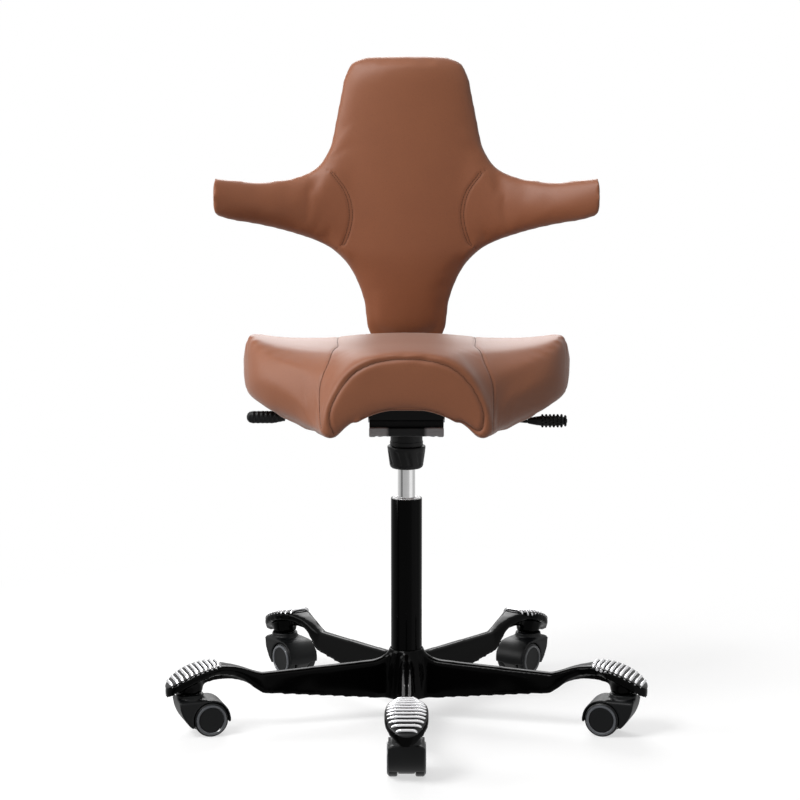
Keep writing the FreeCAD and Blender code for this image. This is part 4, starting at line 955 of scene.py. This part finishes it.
def makeGrips():
    for number in range(1, 6):
        heading = math.radians(72 * (number - 1) - 90)
        outward = Vector((math.cos(heading), math.sin(heading), 0))
        sideways = Vector((-outward.y, outward.x, 0))

        def at(station, across, height):
            return tuple(outward * station + sideways * across + Vector((0, 0, height)))

        stations = [grip["first"] + grip["pitch"] * rib for rib in range(grip["ribs"])]
        drop = grip["rise"] - grip["width"] / 2 + 0.0004
        places = [at(station, 0, crownAt(station, drop)) for station in stations]
        spans = [ovalHalf(station) - 0.0002 for station in stations]
        leans = [math.asin((station - grip["crownAxis"]) / grip["crownRadius"])
                 for station in stations]
        ribs = spots(f"gripRibs{number}", places, span=spans,
                     spin=[(0.0, lean, heading) for lean in leans])
        repeated(ribs, ribRows, radius=grip["width"] / 2, droop=grip["droop"])
        smoothShade(ribs, 50)
        finished(ribs, "base", "bright_alloy", stands=(f"foot_grip_{number}",))
        shape = bmesh.new()
        rings = []
        middle, reach = ovalMiddle()
        for share, extra in grip["bedLayers"]:
            ring = []
            for step in range(grip["bedSides"]):
                u, v = roundedTurn(step, grip["bedSides"], 2 / grip["oval"])
                station = middle + reach * share * u
                height = crownAt(station, grip["rise"] + extra)
                ring.append(shape.verts.new(at(station, grip["half"] * share * v, height)))
            rings.append(ring)
        capRings(shape, rings)
        bed = smoothShade(made(f"gripBed{number}", shape), 40)
        finished(bed, "base", "black_steel", material=extras["gripBed"])


makeGrips()
print("foot grips made")

# lever grips
lever = {
    "reach": 0.258, "length": 0.064,
    "rightHeight": 0.4845, "leftHeight": 0.4905,
    "core": (0.0082, 0.0074),      # half height and half depth of the studded grip
    "studPitch": 0.0061, "studRound": 10, "stud": 0.0021,
    "paddle": (0.0100, 0.0092),    # the same of the fluted grip
    "paddleShare": 0.96, "paddleSteps": 96, "flutePitch": 0.0072, "flute": 0.0011,
}


def sweptGrip(name, sections, sides=40):
    # sections: place along X, then height of the middle, half height, half depth
    shape = bmesh.new()
    rings = []
    for x, z, tall, deep in sections:
        turns = [roundedTurn(side, sides, 0.8) for side in range(sides)]
        rings.append([shape.verts.new((x, deep * u, z + tall * v)) for u, v in turns])
    capRings(shape, rings)
    return smoothShade(made(name, shape), 50)


def studTree():
    # a blunt stud on each point, turned to the point's own direction
    graph = Repeats("studRings", "places", "radius")
    wires = graph.wires
    ball = graph.add("GeometryNodeMeshUVSphere", None, {
        "Segments": 12, "Rings": 8, "Radius": wires["radius"]})
    tall = graph.add("GeometryNodeTransform", None, {"Geometry": ball, "Scale": (1.0, 1.0, 1.35)})
    turned = graph.add("FunctionNodeAlignRotationToVector", {"axis": "Z"}, {
        "Vector": graph.stored("away")})
    return graph.setOut(finishes["black_plastic"], Points=wires["places"], Instance=tall,
                        Rotation=turned)


def makeLeverGrips():
    reach, inner = lever["reach"], lever["reach"] - lever["length"]
    z, (tall, deep) = lever["rightHeight"], lever["core"]
    sections = [(inner, z, tall * 0.5, deep * 0.6), (inner + 0.002, z, tall * 0.6, deep * 0.7),
                (inner + 0.014, z, tall * 0.86, deep * 0.95)]
    for step in range(12):
        share = step / 11
        fall = math.sqrt(max(0.0, 1 - share ** 6))
        sections.append((inner + 0.024 + (reach - 0.0012 - inner - 0.024) * share, z,
                         tall * max(0.35, fall), deep * max(0.35, fall)))
    finished(sweptGrip("studdedGrip", sections), "height_lever", "black_plastic",
             stands=("right_lever_grip",))
    places, away = [], []
    rings = int((lever["length"] - 0.022) / lever["studPitch"]) + 1
    for ring in range(rings):
        x = reach - 0.0042 - lever["studPitch"] * ring
        small = 0.80 if ring == 0 else 1.0
        for step in range(lever["studRound"]):
            turn = 2 * math.pi * (step + 0.5 * (ring % 2)) / lever["studRound"]
            places.append((x, deep * small * math.cos(turn), z + tall * small * math.sin(turn)))
            away.append((0.0, math.cos(turn), math.sin(turn)))
    studs = repeated(spots("gripStuds", places, away=away), studTree(), radius=lever["stud"])
    smoothShade(studs)
    finished(studs, "height_lever", "black_plastic")
    z, (tall, deep) = lever["leftHeight"], lever["paddle"]
    sections = []
    count, whole = lever["paddleSteps"], lever["length"] * lever["paddleShare"]
    for step in range(count + 1):
        along = whole * step / count
        x = -inner - along
        wave = 0.5 - 0.5 * math.cos(2 * math.pi * along / lever["flutePitch"])
        left = whole - along
        nose = math.sqrt(max(0.002, 1 - max(0.0, 1 - left / tall) ** 2))
        root = min(1.0, 0.62 + along / 0.05)
        tuck = lever["flute"] * wave * min(1.0, along / 0.006, left / 0.006)
        sections.append((x, z, (tall * root - tuck * 0.35) * nose,
                         (deep * min(1.0, root + 0.1) - tuck) * nose))
    finished(sweptGrip("flutedGrip", sections), "lock_lever", "black_plastic",
             stands=("left_lever_grip",))


makeLeverGrips()
print("lever grips made")

# wheels
wheel = {"radius": 0.0273, "inner": 0.01335, "width": 0.016, "disc": 0.0199, "bore": 0.00405}


def makeWheels():
    for number in range(1, 6):
        for side in ("left", "right"):
            nodeName = f"caster_{number}_wheel_{side}"
            low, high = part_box(nodeName)
            axleLow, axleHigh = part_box(f"caster_{number}_axle")
            centre = (axleLow + axleHigh) / 2
            middle = (low + high) / 2
            outward = (middle - centre)
            outward.z = 0
            outward.normalize()
            start, reach = wheel["inner"], wheel["inner"] + wheel["width"]
            radius, disc = wheel["radius"], wheel["disc"]
            body = bodyOf(nodeName)
            finished(lathe(f"wheelTread{number}{side}", [
                (wheel["bore"], start), (radius - 0.0026, start), (radius - 0.0008, start + 0.0008),
                (radius, start + 0.0024), (radius, reach - 0.0052),
                (radius - 0.0005, reach - 0.0032),
                (radius - 0.0024, reach - 0.0018), (radius - 0.0027, reach - 0.003),
                (disc, reach - 0.003), (wheel["bore"], reach - 0.003)],
                centre, outward, 72), body, "wheel_plastic", stands=(nodeName,))
            finished(lathe(f"wheelRim{number}{side}", [
                (radius - 0.0028, reach - 0.0029), (radius - 0.0028, reach - 0.0014),
                (radius - 0.0035, reach - 0.0004), (radius - 0.0046, reach),
                (disc + 0.0012, reach - 0.0002),
                (disc + 0.0002, reach - 0.0012), (disc, reach - 0.0029)],
                centre, outward, 72), body, "wheel_plastic", material=extras["wheelRim"])
            finished(lathe(f"wheelDisc{number}{side}", [
                (0.0, reach - 0.0028), (disc - 0.0002, reach - 0.0028),
                (disc - 0.0003, reach - 0.0016), (disc - 0.0016, reach - 0.0012),
                (disc - 0.0030, reach - 0.0013), (0.0, reach - 0.0010)],
                centre, outward, 72, closed=False),
                body, "wheel_plastic", material=extras["wheelDisc"])


makeWheels()
print("wheels made")

# floor and light
stageSizes = {
    "floor": 14.0,
    "floorLift": 0.60,   # light added to the floor as the camera sees it
    "bounce": 0.35,      # share of the light that the floor sends up to the stool
    "fadeStart": 0.55,   # distance from the column where the floor starts to turn plain white
    "fadeEnd": 1.25,
}
studio = {
    # light from round about, by the angle from the front as a share of a turn: right is over 0.5
    "round": [(0.0, 0.90), (0.16, 0.75), (0.25, 0.50), (0.305, 0.30), (0.318, 0.04), (0.340, 0.04),
              (0.355, 0.48), (0.50, 0.52), (0.60, 0.62), (0.615, 1.0), (0.72, 1.0), (0.76, 0.60),
              (0.84, 0.60), (1.0, 0.90)],
    "above": 1.25,
    "level": 0.95,
    "soft": 0.17, "fromLeft": 0.18, "fromAbove": 0.24,   # even light for matt surfaces
}


def makeStage():
    mesh = bpy.data.meshes.new("studioFloor")
    half = stageSizes["floor"] / 2
    mesh.from_pydata([(-half, -half, 0), (half, -half, 0), (half, half, 0), (-half, half, 0)], [],
                     [(0, 1, 2, 3)])
    floor = linkMesh("studioFloor", mesh)
    finish = Finish("paperFloor", Roughness=0.9, Specular_IOR_Level=0.1)
    seen = finish.add("ShaderNodeLightPath", out="Is Camera Ray")
    glossy = finish.add("ShaderNodeLightPath", out="Is Glossy Ray")
    grain = finish.noise(finish.place(), 40, 2, 0.5)
    paper = finish.blend(grain, colour(168, 168, 168), colour(171, 171, 171))
    dull = stageSizes["bounce"]
    finish.wear("Base Color", finish.blend(seen, (dull, dull, dull, 1), paper))
    white = (1, 1, 1, 1)
    lit = Wire(finish, finish.shader.outputs[0])
    lift = finish.add("ShaderNodeEmission", None, {
        "Color": white, "Strength": stageSizes["floorLift"]})
    lifted = finish.add("ShaderNodeAddShader", None, {0: lit, 1: lift})
    plain = finish.add("ShaderNodeEmission", None, {"Color": white, "Strength": 1.0})
    distance = finish.add("ShaderNodeVectorMath", {"operation": "LENGTH"}, {
        0: finish.place()}, out="Value")
    far = finish.add("ShaderNodeMapRange", {"interpolation_type": "SMOOTHSTEP"}, {
        "Value": distance, "From Min": stageSizes["fadeStart"], "From Max": stageSizes["fadeEnd"]})
    shown = finish.add("ShaderNodeMixShader", None, {0: far, 1: lifted, 2: plain})
    both = finish.add("ShaderNodeMixShader", None, {0: seen, 1: lit, 2: shown})
    clear = finish.add("ShaderNodeBsdfTransparent")
    final = finish.add("ShaderNodeMixShader", None, {0: glossy, 1: both, 2: clear})
    out = finish.tree.nodes["Material Output"]
    finish.tree.links.new(final.socket, out.inputs["Surface"])
    floor.data.materials.append(finish.material)


def makeWorld():
    world = bpy.data.worlds.new("studioWorld")
    bpy.context.scene.world = world
    world.use_nodes = True
    world.node_tree.nodes.clear()
    graph = Graph(world.node_tree)
    seen = graph.add("ShaderNodeLightPath", out="Is Camera Ray")
    view = graph.add("ShaderNodeTexCoord", out="Generated")
    split = graph.add("ShaderNodeSeparateXYZ", None, {0: view})
    across, along, up = [Wire(graph, socket) for socket in split.socket.node.outputs]
    turn = across.maths("ARCTAN2", across, along * -1.0) / (2 * math.pi) + 0.5
    ring = graph.add("ShaderNodeValToRGB", {"stops": [
        (place, (light, light, light)) for place, light in studio["round"]]}, {0: turn})
    high = graph.add("ShaderNodeMapRange", {"interpolation_type": "SMOOTHSTEP"}, {
        "Value": up, "From Min": 0.35, "From Max": 0.8})
    light = graph.add("ShaderNodeMix", {"data_type": "RGBA"}, {
        0: high, 6: ring, 7: (studio["above"], studio["above"], studio["above"], 1)}, out=2)
    matt = graph.add("ShaderNodeLightPath", out="Is Diffuse Ray")
    soft = studio["soft"] - across * studio["fromLeft"] + up * studio["fromAbove"]
    light = graph.add("ShaderNodeMix", {"data_type": "RGBA"}, {0: matt, 6: light, 7: soft}, out=2)
    shell = graph.add("ShaderNodeMix", {"data_type": "RGBA"}, {
        0: seen, 6: light, 7: (1, 1, 1, 1)}, out=2)
    strength = seen * (1 - studio["level"]) + studio["level"]
    sky = graph.add("ShaderNodeBackground", None, {"Color": shell, "Strength": strength})
    out = world.node_tree.nodes.new("ShaderNodeOutputWorld")
    world.node_tree.links.new(sky.socket, out.inputs["Surface"])


lampAim = (0, 0, 0.6)
lamps = {
    # place, width in metres, watts
    "key": ((-1.8, -1.7, 3.1), 1.3, 88),
    "side": ((-2.6, -0.5, 1.3), 1.2, 28),
    "behind": ((-0.2, 2.5, 2.0), 1.8, 56),
}


def makeLamps():
    for name, (place, width, power) in lamps.items():
        data = bpy.data.lights.new(name, "AREA")
        data.shape = "SQUARE"
        data.size = width
        data.energy = power
        lamp = bpy.data.objects.new(name, data)
        lamp.location = place
        lamp.visible_camera = False
        aim = Vector(lampAim) - Vector(place)
        lamp.rotation_euler = aim.to_track_quat("-Z", "Y").to_euler()
        bpy.context.scene.collection.objects.link(lamp)


makeStage()
makeWorld()
makeLamps()
print("stage made")
